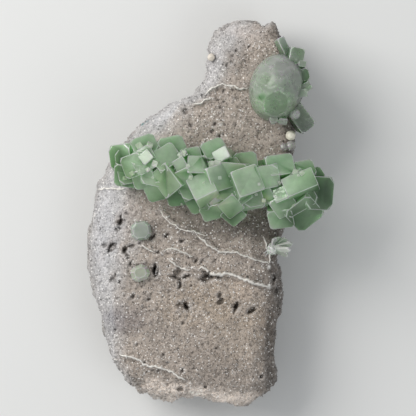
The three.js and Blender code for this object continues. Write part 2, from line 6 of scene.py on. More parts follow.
import bmesh
import bpy
import numpy as np
from mathutils import Matrix, Vector, noise
from mathutils.bvhtree import BVHTree


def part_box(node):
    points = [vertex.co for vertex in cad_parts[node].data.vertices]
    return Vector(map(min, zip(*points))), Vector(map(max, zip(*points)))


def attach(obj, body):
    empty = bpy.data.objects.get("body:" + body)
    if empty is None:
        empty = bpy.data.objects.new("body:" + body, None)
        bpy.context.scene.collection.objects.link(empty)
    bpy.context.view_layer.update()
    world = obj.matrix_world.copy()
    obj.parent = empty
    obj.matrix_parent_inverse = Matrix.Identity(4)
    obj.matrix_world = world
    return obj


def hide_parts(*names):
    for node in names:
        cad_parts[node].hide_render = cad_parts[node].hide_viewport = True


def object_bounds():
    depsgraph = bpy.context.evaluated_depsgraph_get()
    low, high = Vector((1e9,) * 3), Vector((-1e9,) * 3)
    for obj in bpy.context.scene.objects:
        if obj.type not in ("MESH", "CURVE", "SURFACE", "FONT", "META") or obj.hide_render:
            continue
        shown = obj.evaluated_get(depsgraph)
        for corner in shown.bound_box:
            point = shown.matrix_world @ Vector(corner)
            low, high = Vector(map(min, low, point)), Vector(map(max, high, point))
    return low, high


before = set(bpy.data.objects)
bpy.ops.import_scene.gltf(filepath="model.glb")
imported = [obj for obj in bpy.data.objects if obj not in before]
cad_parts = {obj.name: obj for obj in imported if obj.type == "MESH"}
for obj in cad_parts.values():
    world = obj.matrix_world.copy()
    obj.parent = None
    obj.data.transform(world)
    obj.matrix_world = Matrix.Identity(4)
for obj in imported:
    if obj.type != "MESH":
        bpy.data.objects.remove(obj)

cad_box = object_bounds()

MM = 0.001
SEED = 7
SKY = 0.1  # metres, above all of the specimen
UP = Vector((0, 0, 1))
DOWN = Vector((0, 0, -1))
RIGHT_BEAD_PLACE = np.array([32.0, 30.4])  # the right cream bead on the slab's drawing, in millimetres

# The rock
ROCK_VOXEL = 0.62 * MM
ROCK_ROUGH = 0.34 * MM  # relief of the rock's skin on the face
SIDE_ROUGH = 0.95 * MM  # and on its broken sides
ROCK_BED = 0.8 * MM  # the rock stays flat below this height
BROAD_ROUNDS = 24  # of smoothing, for the slopes of the rock without its relief
NEAR_ROUNDS = 5  # and for the skin round a place that stands proud of it

# The druse's grains
GRAIN_COUNT = 49000  # tried; those under a crystal or in a pit are left out
GRAIN_HALF = (0.2 * MM, 0.5 * MM)  # half width, smallest and largest
GRAIN_CORNERS = ((1, 0), (0, 1), (-1, 0), (0, -1))  # of its square foot
GRAIN_SMALLER = 1.6  # above 1, small grains are the more common
GRAIN_TILT = 0.5  # how much a grain leans at random
GRAIN_SUNK = 0.5  # how deep its foot is in the rock, in half widths
GRAIN_TIPS = (0.6, 1.4)  # height of its tip, lowest and highest, in half widths
GRAIN_LOWEST = 2 * MM  # no grain stands lower
GRAIN_ROOM = 1.6 * MM  # free height that a grain needs

# The crystals' edges and growth steps
EDGE_WIDTH = 0.27 * MM  # of the painted highlight along a crystal's edges
SINGLE_EDGE = 0.14 * MM  # the same on the two single crystals
BLOCK_EDGE = 0.07 * MM  # on the small blocks
SPRAY_EDGE = 0.1 * MM  # and on the blades
SHARP_ANGLE = math.radians(12)  # edges that turn more than this get the painted highlight
FLAT_ANGLE = math.radians(1)  # faces that turn less than this are one facet
STRAY = 0.02 * MM  # a chamfer's corner farther than this from the crystal's faces is put back on them
SAME_POINT = 0.002 * MM  # corners of a solid that are nearer than this are one
TOO_SHORT = 0.001 * MM  # shorter edges are dissolved
STEP_INSET = 0.7 * MM  # width of the growth step round a crystal's top face
STEP_RISE = 0.1 * MM
STEP_AREA = 16 * MM**2  # smallest face that gets a step
STEP_CORNERS = 8  # and the most corners that it may have
STEP_FACING = 0.6  # least height of its normal

# The veins
VEIN_STEP = 0.4 * MM
VEIN_HALF = 0.41 * MM  # half width
VEIN_RISE = 0.95 * MM
VEIN_LOWEST = 15 * MM  # a vein ends where the rock falls below this
VEIN_WINDING = 0.5 * MM  # how far it winds to the sides
WINDING_SCALE = 700  # per metre, of the noise that winds it
SWELL_SCALE = 1100  # and of the noise that swells it
VEIN_TIP = 0.35  # thickness of its ends, as a share
VEIN_TAPER = 0.15  # and what each step from an end adds

# The beads
BEAD_VOXEL = 0.16 * MM
BEAD_LUMP = 0.14 * MM  # unevenness of a bead's skin
BEAD_NOISE = 900  # per metre
BEAD_MOTTLE = 0.18  # how much its shade varies
BEAD_ROUNDS = 8  # of smoothing

# The large crystal's dome on the slab's drawing: middle, half sizes and turn in degrees
DOME_MIDDLE = (26.4, 49.2, 34)
DOME_HALF = (10.8, 13.6, 17)
DOME_TURN = -15
DOME_CUTS = 9  # new vertices on each edge of its facets
LEDGE_RISE = 0.09 * MM  # of the growth ledges on it
LEDGES_PER_LENGTH = 5.5
DOME_REACH = (0.75, 1.01)  # how near to the dome's surface the middle of its facets lies
DOME_FACING = 0.8  # and how well they face outward
LOWER_AREA = 22 * MM**2  # the crystal's flat lower face is larger than this
LOWER_LEAN = -0.3  # and leans to the slab's wide end

# Camera and light
PHOTO_SPAN = 166.4 * MM  # width of the photograph's frame at the slab's rim
PHOTO_MIDDLE = (-0.8, 1.6)  # its middle on the slab's drawing, in millimetres
RIM_HEIGHT = 20 * MM
CAMERA_HEIGHT = 1.5  # metres above the rim
CAMERA_LIMIT = 10  # metres
SENSOR = 36.0  # millimetres
KEY_PLACE = (-0.66, 0.40, 0.70)  # metres
KEY_POWER = 9.5  # watts
KEY_COLOUR = (1, 0.985, 0.96)
FILL_PLACE = (0.6, -0.5, 0.9)
FILL_POWER = 2.0
FILL_COLOUR = (0.95, 0.98, 1)
LIGHT_SIZE = 0.7
LIGHT_TARGET = Vector((0, 0, 0.03))
WORLD_COLOUR = (0.94, 0.97, 1, 1)
WORLD_STRENGTH = 0.48
FLOOR_COLOUR = (0.70, 0.70, 0.69, 1)
FLOOR_ROUGHNESS = 0.9
FLOOR_HALF = 3  # metres
FLOOR_DROP = 0.05 * MM  # under the specimen's bed

# The pale veins: thickness, and a line of points along the face
VEINS = [
    (0.8, [(-19.8, 1.2), (-18.8, -0.8), (-16.8, -3.1), (-13.8, -5.4), (-10.2, -7.1), (-6.6, -7.7),
           (-1, -9.5)]),
    (1.0, [(-5.2, -9.5), (-2.6, -11.2), (-0.5, -13.1), (2, -14.6), (4.6, -15.6), (7.6, -15.8),
           (10.7, -16.1), (14.4, -17.6), (18.4, -19), (23.5, -20.2)]),
    (0.9, [(-27, -13.1), (-24.4, -14.8), (-21.4, -16.1)]),
    (0.8, [(-18.4, -15.1), (-14.3, -14.6), (-11.2, -15.6), (-6.6, -17.9)]),
    (1.1, [(-16.4, -18.7), (-13.6, -20.8), (-10.8, -22.4), (-7.6, -23.1)]),
    (1.5, [(-4.4, -22.6), (-3.2, -21.8), (-1.2, -23.2), (1, -24.3), (4.1, -24.8), (6.6, -24.3),
           (8.7, -24.8), (13.8, -26.8), (18.4, -28.4), (23, -29.6)]),
    (1.1, [(-36, -56.4), (-32.2, -57.2), (-28.1, -58.8), (-25, -61), (-21.4, -61.3), (-18.4, -62.3),
           (-15.3, -63.4), (-12.8, -65.1), (-9.7, -66.7)]),
    (0.8, [(-39, -57.8), (-36.5, -59.2)]),
    (1.1, [(-1.8, 46.8), (0.2, 48.6), (2.7, 50), (4.7, 50.6), (7.2, 50.4), (10, 49.8), (12.1, 48.8),
           (15.4, 49.4)]),
    (1.0, [(-6.7, 42.9), (-4.2, 43.1), (-1.8, 44.3), (1.1, 45.3)]),
    (1.2, [(-46.4, 9.2), (-44.4, 9.1), (-40, 9.4), (-35.7, 9.2), (-34, 9.4)]),
    (0.9, [(21.2, -9.6), (22.2, -13), (23.4, -17.2), (24, -20.2)]),
]
# Across a vein: place and height of each point, as shares of its half width and rise, and its shade,
# lightest on the crest and darker at the feet as painted shade
VEIN_PROFILE = ((-1.6, -0.8), (-0.7, 0.6), (0, 1), (0.7, 0.5), (1.6, -0.8))
VEIN_PAINTED_SHADES = (0.55, 0.95, 1.1, 0.9, 0.5)
VEIN_COLOUR = np.array([0.82, 0.79, 0.74])

# Pits in the face, dark inside with painted shade: place, half sizes, turn in degrees, depth
PITS = [
    ((-21.5, -23), (0.9, 2.3), 12, 6), ((-14.2, -25.8), (2.2, 0.8), -25, 1.7),
    ((-9.8, -25.8), (2, 0.8), 20, 1.7), ((-12, -28), (0.9, 2.2), 0, 2.2),
    ((-1.6, -26.2), (3.2, 1.4), 10, 2.2), ((2.6, -25.8), (2.2, 0.7), -12, 1.8),
    ((-5.6, -19.4), (1.2, 0.8), 30, 1.4), ((-9.2, -37.8), (0.8, 1.8), 35, 2.6),
    ((-11, -37), (2.4, 1.5), 0, 0.9), ((4, -33.2), (0.8, 1.8), 10, 1.4),
    ((10.2, -37.8), (0.9, 2.3), -10, 2.2), ((16.4, -39.2), (2.4, 1.1), 30, 2.2),
    ((25.5, -26), (0.9, 1.6), 0, 1.8), ((26.4, -31.2), (0.9, 1.6), 0, 1.8),
    ((-35.7, -3.8), (0.8, 2.9), -12, 2.2), ((-36.2, -6.6), (1.7, 0.9), 10, 1.4),
    ((-42, -13.2), (1.4, 0.8), 0, 1.6), ((-39.4, -13.4), (1.5, 0.8), 35, 1.8),
    ((-40, -15.4), (1.2, 0.9), 30, 1.6), ((-33.8, -15), (1, 1.5), 0, 2.2),
    ((-32.8, -17.4), (0.6, 1.7), 30, 1.8), ((-31.2, -13.6), (2, 0.6), 5, 1.4),
    ((-31.4, -20.6), (0.8, 1), 0, 1.6), ((-38.8, -27.2), (1.4, 1.2), 0, 1.5),
    ((-22.8, -9.8), (1.7, 1), 30, 1.5), ((-17.2, -9.2), (0.7, 1.4), -35, 1.4),
    ((-11.2, -11.6), (0.8, 0.8), 0, 1.6), ((-20.6, -16), (1, 0.7), 0, 1.6),
    ((-28, -12.4), (0.7, 0.7), 0, 1.2), ((-30.4, -33.2), (1, 1.2), 0, 1.2),
    ((-24.5, -34.8), (0.9, 0.7), 0, 1.1), ((10.4, 64.1), (0.8, 0.8), 0, 1.2),
    ((8.4, 59.6), (0.9, 0.6), 0, 1), ((6.6, 58), (0.6, 0.8), 0, 1),
    ((5.4, 48), (0.9, 0.7), 20, 1.1), ((2.1, 34.9), (0.6, 0.9), -20, 1.1),
    ((-7.5, 34.3), (0.8, 0.8), 0, 1), ((-9.8, 40), (1.5, 1.2), 0, 1.2),
    ((3.5, 29.2), (0.7, 1.6), -10, 2), ((10, 21.2), (0.9, 2), 0, 2.4),
    ((-20.2, -62.8), (0.8, 0.7), 0, 1.2), ((-11, -62.8), (0.6, 1.1), -20, 1.4),
    ((-12, -70.4), (1.6, 1.2), 0, 1.6), ((-1.8, -69.6), (0.7, 0.9), 0, 1.4),
    ((20.4, -65.6), (1, 1), 0, 1.4), ((-37.8, -46.8), (0.7, 0.6), 0, 1),
    ((3, -46), (0.8, 0.6), 0, 1),
]

# Where small random pits gather: place, half sizes, count
PIT_FIELDS = [
    ((-4, -30), (25, 14), 34), ((-38, -14), (8, 22), 26), ((4, 48), (12, 20), 18),
    ((-6, -56), (26, 10), 20),
]
SMALL_PIT_HALF = (0.3, 0.6)  # half size, smallest and largest
SMALL_PIT_STRETCH = (0.7, 2)
SMALL_PIT_DEPTH = (0.4, 1.0)
PIT_RAGGED = 0.45  # how ragged a pit's rim is
PIT_NOISE = 700  # per metre
PIT_WALL = 0.45  # width of its sloping wall, as a share of its half size

# The rock's relief: scale of the noise per metre and its weight, for broad lumps, lumps, ridges and grain
RELIEF_SCALES = (110, 230, 480, 950)
RELIEF_WEIGHTS = (0.8, 1.0, 0.9, 0.7)
RELIEF_DROP = 0.35  # takes the ridges' average off
LUMPY_GAIN = 0.8  # how much rougher the lumpy parts are

# Where the skin is lumpier: place, half sizes
LUMPY_PARTS = [((-33, -14), (11, 22)), ((-20, -70), (20, 6)), ((2, 66), (5, 10)), ((-8, -32), (20, 10))]

# A soft patch fades out at this many of its half sizes from its middle
PATCH_REACH = 1.35

# Soft patches of tint on the rock: place, half sizes, factor on the colour; the last two are painted shadow
# under the crystal band
ROCK_PATCHES = [
    ((-34, -43), (10, 6), (0.68, 0.68, 0.72)), ((-6, -56), (9, 4), (0.82, 0.81, 0.80)),
    ((4, -61), (9, 4), (0.82, 0.81, 0.80)), ((-18, -72.5), (14, 4.5), (2.3, 2.35, 2.4)),
    ((6, -74.5), (13, 3.5), (2.2, 2.25, 2.3)), ((0, -36), (18, 10), (1.04, 1.0, 0.93)),
    ((12.8, -31), (5, 5), (1.14, 1.13, 1.13)), ((-43, -6), (9, 24), (1.12, 1.14, 1.18)),
    ((-16, 36), (10, 9), (1.1, 1.12, 1.15)), ((0, 62), (4, 14), (1.08, 1.08, 1.1)),
    ((10, 72), (12, 4), (1.15, 1.13, 1.13)), ((-28, -1), (8, 8), (1.08, 1.08, 1.1)),
    ((14, -50), (12, 10), (1.02, 1.0, 0.96)), ((24, -44), (5, 9), (0.9, 0.88, 0.86)),
    # painted shadow under the crystal band
    ((-4, -7), (16, 6), (0.56, 0.56, 0.55)), ((18, -7), (9, 6), (0.5, 0.5, 0.48)),
]

# Small flecks on the rock: place, radius, colour
FLECKS = [
    ((-27.2, 35.4), 0.9, (0.02, 0.16, 0.17)), ((-25.4, 36.8), 1.0, (0.02, 0.13, 0.14)),
    ((23.5, -21.8), 0.8, (0.86, 0.84, 0.80)), ((23.5, -29.6), 0.9, (0.86, 0.84, 0.80)),
    ((4.4, 34.6), 0.6, (0.86, 0.84, 0.80)), ((-46.5, -0.9), 0.8, (0.80, 0.78, 0.74)),
]

# The stony materials: scales of their noise per metre, and height of their bump
MOTTLE_SCALE = 160
SPECK_SCALE = 1400
BUMP_SCALE = 2200
BUMP_HEIGHT = 0.3 * MM

# The rock's colours
ROCK_TINT = np.array([0.39, 0.334, 0.288])
# a whiter stone for crests and left slopes; on slopes that face the key lamp it is partly painted light
PALE_TINT = np.array([0.45, 0.436, 0.43])
SPARKLE_TINT = np.array([0.90, 0.88, 0.85])
# painted shade deep in the pits
PIT_SHADE_TINT = np.array([0.066, 0.056, 0.048])
SIDE_TINT = np.array([0.25, 0.225, 0.20])
RIGHT_SIDE_PAINTED_SHADE = 0.5  # how much painted shade darkens the broken right side, which faces away from the key lamp
RAGGED = 0.5  # how ragged the borders of the rock's patches are
CLOUD_SCALES = (150, 420)  # per metre, of the noise that makes the borders of the tints uneven
CLOUD_FINE = 0.6  # weight of the finer one
CLOUD_SHARE = 0.16  # how far the noise moves the borders between the slopes' tints
LOW_TOP = 25 * MM  # below this height the face's colour fades into that of the sides
LOW_FADE = 9 * MM  # over this height
LOW_SHARE = 0.7  # by this much
CREST_RISE = 0.3 * MM  # a place that stands this proud is pale
HOLLOW_DEPTH = 0.35 * MM  # and one that lies this deep gets painted shade
GRAIN_SHADES = (0.72, 1.3)  # of the plain grains against the rock under them
GRAIN_DARKEST = 0.1  # no grain stands where the rock is darker
SPARKLE_BELOW = 0.11  # share of the grains that are white sparkles
DARK_ABOVE = 0.87  # and those above this share are dark

# Soft patches of tint on the crystals: place, half sizes, factor on the colour; most are the crystals' own
# colour, and the ones marked below are painted light and painted shade
CRYSTAL_PATCHES = [
    ((45.5, 7), (6, 8), (0.04, 0.12, 0.04)), ((36, -3), (8, 6), (0.07, 0.16, 0.06)),
    ((42, 15), (5, 4), (0.55, 0.68, 0.50)), ((-38, 20), (5, 8), (0.42, 0.53, 0.37)),
    ((-34.5, 23), (2, 3), (0.42, 0.52, 0.40)), ((-32, 13), (5, 4), (0.62, 0.72, 0.55)),
    # (-19.6, 4): painted shade on the band's lower left
    ((-19.6, 4), (7, 4), (0.50, 0.60, 0.46)), ((-8, 1), (7, 3), (0.60, 0.70, 0.54)),
    ((9, -2.4), (4.6, 4), (0.34, 0.46, 0.29)), ((1, -1), (4, 3), (0.6, 0.7, 0.54)),
    ((-25.3, 21.8), (2.6, 2.6), (1.30, 1.24, 1.22)), ((-16.8, 12.4), (4.5, 5.5), (0.86, 0.86, 0.72)),
    ((-12.1, 18.7), (2.4, 2.4), (1.14, 1.10, 1.16)), ((4.1, 23), (3.4, 2.8), (1.2, 1.08, 1.26)),
    # (2.3, 5.0): painted glow on a facet that faces away from the key lamp
    ((2.3, 5.0), (3.4, 2.8), (2.2, 1.85, 1.75)), ((4.4, 13.6), (4, 4), (0.84, 0.88, 0.88)),
    ((14, 12.4), (6, 5), (1.04, 1.04, 1.04)), ((13.5, 20.2), (4.5, 2.4), (0.95, 0.82, 0.78)),
    ((27.8, 20.8), (5, 3.4), (0.62, 0.74, 0.66)), ((35, 12), (6, 3.6), (1.12, 1.10, 1.14)),
    ((38.8, 9.4), (2.4, 1.6), (1.32, 1.22, 1.28)), ((21, 4.8), (1.4, 1.4), (1.4, 1.25, 1.0)),
    # (25, 42.4): painted light on the large crystal's lower face, which faces away from the key lamp
    ((25, 42.4), (8.4, 4.4), (1.25, 1.42, 1.19)), ((22, 51.5), (4, 4), (0.82, 0.90, 0.78)),
    ((20.2, 45.2), (1.8, 1.2), (0.42, 0.66, 0.42)), ((28, 57), (10, 7), (1.10, 1.0, 1.12)),
    ((35, 63), (3, 3), (0.45, 0.58, 0.40)), ((38.5, 54), (2.4, 3), (0.36, 0.52, 0.32)),
    ((38.4, 49.2), (2.6, 2.4), (1.28, 1.2, 1.26)), ((37.6, 34), (4.4, 4), (0.05, 0.12, 0.06)),
    ((35, 40), (4, 4), (0.74, 0.70, 0.64)), ((27, 35.6), (4, 2), (1.25, 1.2, 1.2)),
    ((29.5, 66.5), (3, 5), (0.88, 0.80, 0.98)),
]

# Colours of the crystals, blades and beads before their patches and shades
BAND_COLOUR = (0.57, 0.73, 0.53)
BLOCK_COLOUR = (0.80, 0.90, 0.72)
CLUSTER_COLOUR = (0.455, 0.515, 0.435)
UPPER_SINGLE_COLOUR = (0.58, 0.625, 0.56)
LOWER_SINGLE_COLOUR = (0.76, 0.77, 0.67)
SPRAY_COLOUR = (0.66, 0.67, 0.63)
RIGHT_CREAM_COLOUR = (0.78, 0.74, 0.63)
LEFT_CREAM_COLOUR = (0.66, 0.60, 0.52)
GREY_COLOUR = (0.62, 0.60, 0.59)

# Shades of the facets, and the crystals' materials
FACET_SPREAD = 0.13  # how much lighter or darker a facet may be
BLOCK_SPREAD = 0.2
SPRAY_SPREAD = 0.3
HUE_SPREAD = 0.02  # how much its red and blue vary
DRIFT_SHADE = 0.08  # how much its shade changes
DRIFT_LENGTH = 5 * MM  # over this length
CRYSTAL_IOR = 1.535
CLOUD_SPREAD = (0.75, 1.0, 0.7)  # how far red, green and blue light spread in the cloudy crystal
VEIL_SCALE = 210  # per metre, of the noise in the colour
FROST_SCALE = 330  # of that in the roughness
HILL_SCALE = 380.0  # and of the growth hills
HILL_STRENGTH = 0.1
HILL_HEIGHT = 0.4 * MM
LEDGE_SHADES = (0.94, 0.2)  # shade along each of the dome's ledges, and what its far end adds
EDGE_OWN = 0.4  # share of the facet's colour in an edge's painted highlight
EDGE_HIGHLIGHT = 0.62  # and the white of the painted highlight that is added

# Painted shade between the crystals: a deeper green where neighbours enclose a place
SHELTER_HEIGHTS = (20, 45, 70)  # degrees above the level at which neighbours are looked for
SHELTER_TURNS = range(0, 360, 45)  # degrees round
SHELTER_START = 0.25 * MM
SHELTER_REACH = 10 * MM
SHELTER_GAIN = 1.5
CREVICE_SHADE_TINT = np.array([0.34, 0.55, 0.32])

# Small crystals that sit on the band: place, width, degrees of turn
SMALL_BLOCKS = [
    ((-23.7, 26.2), 2.4, 12), ((-27.8, 25.9), 2.6, 24), ((-21.5, 19.0), 2.3, 60), ((-10.3, 23.2), 1.8, 30),
    ((-11.8, 22.4), 1.6, 10), ((0.7, 18.7), 2.4, 35), ((2.8, 19.0), 2.5, 15), ((21, 4.6), 1.6, 40),
    ((33.5, 15.6), 2.2, 40), ((36, 15.2), 1.7, 20), ((27.2, 11.4), 1.4, 45), ((-30.6, 15.2), 1.8, 20),
    ((-24.4, 16.6), 1.7, 50), ((-8.6, 18), 1.5, 30), ((1.9, 4.4), 4.0, 30),
]
BLOCK_FIELD = ((-40, -6), (48, 30))  # where small random ones are tried, lowest and highest corner
BLOCK_TRIES = 16
BLOCK_WIDTHS = (0.7, 1.6)  # of the random ones, in millimetres
BLOCK_LOWEST = 34 * MM  # none stands lower
BLOCK_SLOPE = 0.35  # nor on a face whose normal has less height than this
BLOCK_LIFT = 0.6  # how much more upright than its face it stands
BLOCK_RISE = 0.25  # share of its width that stands out
BLOCK_CUT = 0.12  # and that is cut off its corners

rng = np.random.default_rng(SEED)

# The slab's drawing is put into the frame by the right cream bead
bead_low, bead_high = (np.array(corner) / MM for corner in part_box("cream_bead_right"))
slab_shift = (bead_low[:2] + bead_high[:2]) / 2 - RIGHT_BEAD_PLACE


def on_slab(point):
    """A place on the slab's drawing, in millimetres, as metres in the frame."""
    return (np.asarray(point, dtype=float) + slab_shift) * MM


def patch_share(places, place, half, ragged=0):
    """How much each place belongs to a soft round patch: 1 in its middle, 0 outside it."""
    away = (places[:, :2] - on_slab(place)) / (np.array(half) * MM)
    return np.clip(PATCH_REACH - np.hypot(away[:, 0], away[:, 1]) - ragged, 0, 1)[:, None]


def patched(tint, places, patches, ragged=0):
    """Tints multiplied by the factors of the patches that they lie in."""
    for place, half, factor in patches:
        tint = tint * (1 + patch_share(places, place, half, ragged) * (np.array(factor) - 1))
    return tint


def in_box(places):
    """Places held inside the solids' box."""
    return np.clip(places, np.array(cad_box[0]), np.array(cad_box[1]))


# Mesh helpers
def mesh_arrays(mesh):
    """Vertices and normals of a mesh as arrays."""
    count = len(mesh.vertices)
    places = np.empty(count * 3)
    mesh.vertices.foreach_get("co", places)
    normals = np.empty(count * 3)
    mesh.vertices.foreach_get("normal", normals)
    return places.reshape(-1, 3), normals.reshape(-1, 3)


def move_vertices(mesh, places):
    mesh.vertices.foreach_set("co", in_box(places).astype(np.float32).ravel())
    mesh.update()


def mesh_edges(mesh):
    edges = np.empty(2 * len(mesh.edges), dtype=np.int64)
    mesh.edges.foreach_get("vertices", edges)
    return edges.reshape(-1, 2)


def smoothed(values, edges, rounds):
    """Each vertex's value averaged with its neighbours', several times over."""
    count = len(values)
    links = np.bincount(edges.ravel(), minlength=count)[:, None]
    for _ in range(rounds):
        total = np.empty_like(values)
        for axis in range(values.shape[1]):
            column = values[:, axis]
            total[:, axis] = np.bincount(edges[:, 0], column[edges[:, 1]], count)
            total[:, axis] += np.bincount(edges[:, 1], column[edges[:, 0]], count)
        values = 0.5 * values + 0.5 * total / np.maximum(links, 1)
    return values


def add_object(name, mesh):
    piece = bpy.data.objects.new(name, mesh)
    bpy.context.scene.collection.objects.link(piece)
    return piece


def mesh_from(name, vertices, faces):
    mesh = bpy.data.meshes.new(name)
    mesh.from_pydata([tuple(v) for v in vertices], [], [tuple(f) for f in faces])
    mesh.update()
    return mesh


def triangle_mesh(name, vertices, triangles):
    """A mesh of triangles straight from arrays, for large counts."""
    mesh = bpy.data.meshes.new(name)
    mesh.vertices.add(len(vertices))
    mesh.vertices.foreach_set("co", np.ascontiguousarray(vertices, dtype=np.float32).ravel())
    mesh.loops.add(3 * len(triangles))
    mesh.loops.foreach_set("vertex_index", np.ascontiguousarray(triangles, dtype=np.int32).ravel())
    mesh.polygons.add(len(triangles))
    mesh.polygons.foreach_set("loop_start", np.arange(0, 3 * len(triangles), 3, dtype=np.int32))
    mesh.update(calc_edges=True)
    mesh.validate()
    return mesh


def evaluated_copy(mesh, *modifiers):
    """A new mesh: the given one after modifiers, each a kind and its settings."""
    scratch = add_object("scratch", mesh)
    for kind, settings in modifiers:
        modifier = scratch.modifiers.new(kind.lower(), kind)
        for setting, value in settings.items():
            setattr(modifier, setting, value)
    result = bpy.data.meshes.new_from_object(scratch.evaluated_get(bpy.context.evaluated_depsgraph_get()))
    bpy.data.objects.remove(scratch)
    return result


def set_tint(mesh, tint, domain="POINT"):
    """Stores a colour for each vertex, or for each corner of each face."""
    layer = mesh.attributes.new("tint", "FLOAT_COLOR", domain)
    full = np.ones((len(tint), 4), dtype=np.float32)
    full[:, :3] = np.clip(tint, 0, 1)
    layer.data.foreach_set("color", full.ravel())


def shade_smooth(mesh):
    mesh.polygons.foreach_set("use_smooth", [True] * len(mesh.polygons))


def tree_of(*pieces):
    """A search tree of the faces of several pieces."""
    vertices = []
    faces = []
    for piece in pieces:
        first = len(vertices)
        vertices += [vertex.co.copy() for vertex in piece.data.vertices]
        faces += [[first + v for v in polygon.vertices] for polygon in piece.data.polygons]
    return BVHTree.FromPolygons(vertices, faces)


def finish_piece(piece, slot, materials, *nodes):
    """Gives a piece its materials and the body that it rides on, and hides the nodes that it stands for; the
    slot is not used.
    """
    piece.data.materials.clear()
    for material in materials:
        piece.data.materials.append(material)
    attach(piece, "root")
    if nodes:
        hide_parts(*nodes)


# Materials
def new_material(name):
    material = bpy.data.materials.new(name)
    material.use_nodes = True
    nodes = material.node_tree.nodes
    nodes.clear()
    output = nodes.new("ShaderNodeOutputMaterial")
    shader = nodes.new("ShaderNodeBsdfPrincipled")
    material.node_tree.links.new(shader.outputs["BSDF"], output.inputs["Surface"])
    return material, shader, output


def add_node(material, kind, settings=None, **values):
    """Adds a node with its options; a socket gets a value, or a link where an output is given."""
    node = material.node_tree.nodes.new(kind)
    for option, value in (settings or {}).items():
        setattr(node, option, value)
    for socket, value in values.items():
        target = node.inputs[socket.replace("_", " ")]
        if isinstance(value, bpy.types.NodeSocket):
            material.node_tree.links.new(value, target)
        else:
            target.default_value = value
    return node


def noise_value(material, scale, detail=4.0, roughness=0.55):
    place = add_node(material, "ShaderNodeTexCoord").outputs["Object"]
    cloud = add_node(material, "ShaderNodeTexNoise", Vector=place, Scale=scale, Detail=detail,
                     Roughness=roughness)
    return cloud.outputs["Fac"]


def ramp_value(material, value, low, high, out_low, out_high):
    """Maps a value from one range to another, held at the ends."""
    node = add_node(material, "ShaderNodeMapRange", Value=value, From_Min=low, From_Max=high,
                    To_Min=out_low, To_Max=out_high)
    return node.outputs["Result"]


def tint_times(material, factor):
    """The stored tint, scaled by a value."""
    tint = add_node(material, "ShaderNodeAttribute", {"attribute_name": "tint"}).outputs["Color"]
    scaled = add_node(material, "ShaderNodeVectorMath", {"operation": "SCALE"}, Scale=factor)
    material.node_tree.links.new(tint, scaled.inputs[0])
    return scaled.outputs["Vector"]


def product(material, first, second):
    node = add_node(material, "ShaderNodeMath", {"operation": "MULTIPLY"})
    material.node_tree.links.new(first, node.inputs[0])
    material.node_tree.links.new(second, node.inputs[1])
    return node.outputs["Value"]


def tinted_material(name, roughness, specks, bump):
    """A stony material: the stored tint, mottled, with a fine bump."""
    material, shader, _ = new_material(name)
    links = material.node_tree.links
    broad = ramp_value(material, noise_value(material, MOTTLE_SCALE), 0.3, 0.7, 0.86, 1.12)
    fine = ramp_value(material, noise_value(material, SPECK_SCALE, 3), 0.3, 0.7, 1 - specks, 1 + specks)
    links.new(tint_times(material, product(material, broad, fine)), shader.inputs["Base Color"])
    shader.inputs["Roughness"].default_value = roughness
    height = noise_value(material, BUMP_SCALE, 4, 0.7)
    relief = add_node(material, "ShaderNodeBump", Height=height, Strength=bump, Distance=BUMP_HEIGHT)
    links.new(relief.outputs["Normal"], shader.inputs["Normal"])
    return material


def crystal_material(name, transmission, roughness, absorption, density, cloudiness, reach):
    """Glassy crystal with faint growth hills: see-through, and cloudy so that light spreads inside it."""
    material, shader, output = new_material(name)
    links = material.node_tree.links
    cloud = ramp_value(material, noise_value(material, VEIL_SCALE, 5, 0.6), 0.3, 0.7, 0.84, 1.12)
    links.new(tint_times(material, cloud), shader.inputs["Base Color"])
    shader.inputs["IOR"].default_value = CRYSTAL_IOR
    shader.inputs["Transmission Weight"].default_value = transmission
    shader.inputs["Subsurface Weight"].default_value = cloudiness
    shader.inputs["Subsurface Radius"].default_value = CLOUD_SPREAD
    shader.inputs["Subsurface Scale"].default_value = reach
    frost = ramp_value(material, noise_value(material, FROST_SCALE, 4), 0.4, 0.68, *roughness)
    links.new(frost, shader.inputs["Roughness"])
    place = add_node(material, "ShaderNodeTexCoord").outputs["Object"]
    hills = add_node(material, "ShaderNodeTexVoronoi", {"distance": "CHEBYCHEV"}, Vector=place,
                     Scale=HILL_SCALE)
    relief = add_node(material, "ShaderNodeBump", Height=hills.outputs["Distance"],
                      Strength=HILL_STRENGTH, Distance=HILL_HEIGHT)
    links.new(relief.outputs["Normal"], shader.inputs["Normal"])
    volume = add_node(material, "ShaderNodeVolumeAbsorption", Color=(*absorption, 1), Density=density)
    links.new(volume.outputs["Volume"], output.inputs["Volume"])
    return material


# The rock
def pit_list():
    """The named pits, and small random ones gathered in their fields."""
    pits = list(PITS)
    for (x, y), (half_x, half_y), count in PIT_FIELDS:
        for _ in range(count):
            place = (x + half_x * rng.uniform(-1, 1), y + half_y * rng.uniform(-1, 1))
            size = rng.uniform(*SMALL_PIT_HALF)
            half = (size, size * rng.uniform(*SMALL_PIT_STRETCH))
            pits.append((place, half, rng.uniform(-90, 90), rng.uniform(*SMALL_PIT_DEPTH)))
    return pits


def rock_relief(places, normals):
    """How far each vertex of the rock moves out, from lumps and grain at four scales."""
    facing = np.clip((normals[:, 2] - 0.2) / 0.6, 0, 1)
    lumpy = sum(patch_share(places, place, half) for place, half in LUMPY_PARTS)[:, 0]
    strength = SIDE_ROUGH + (ROCK_ROUGH - SIDE_ROUGH) * facing
    strength = strength * (1 + LUMPY_GAIN * np.minimum(lumpy, 1))
    relief = np.empty(len(places))
    for i, place in enumerate(places):
        heights = [noise.noise(Vector(place) * scale) for scale in RELIEF_SCALES]
        broad, coarse, medium, fine = (w * h for w, h in zip(RELIEF_WEIGHTS, heights))
        relief[i] = broad + coarse + abs(medium) - RELIEF_DROP + fine
    return relief * strength


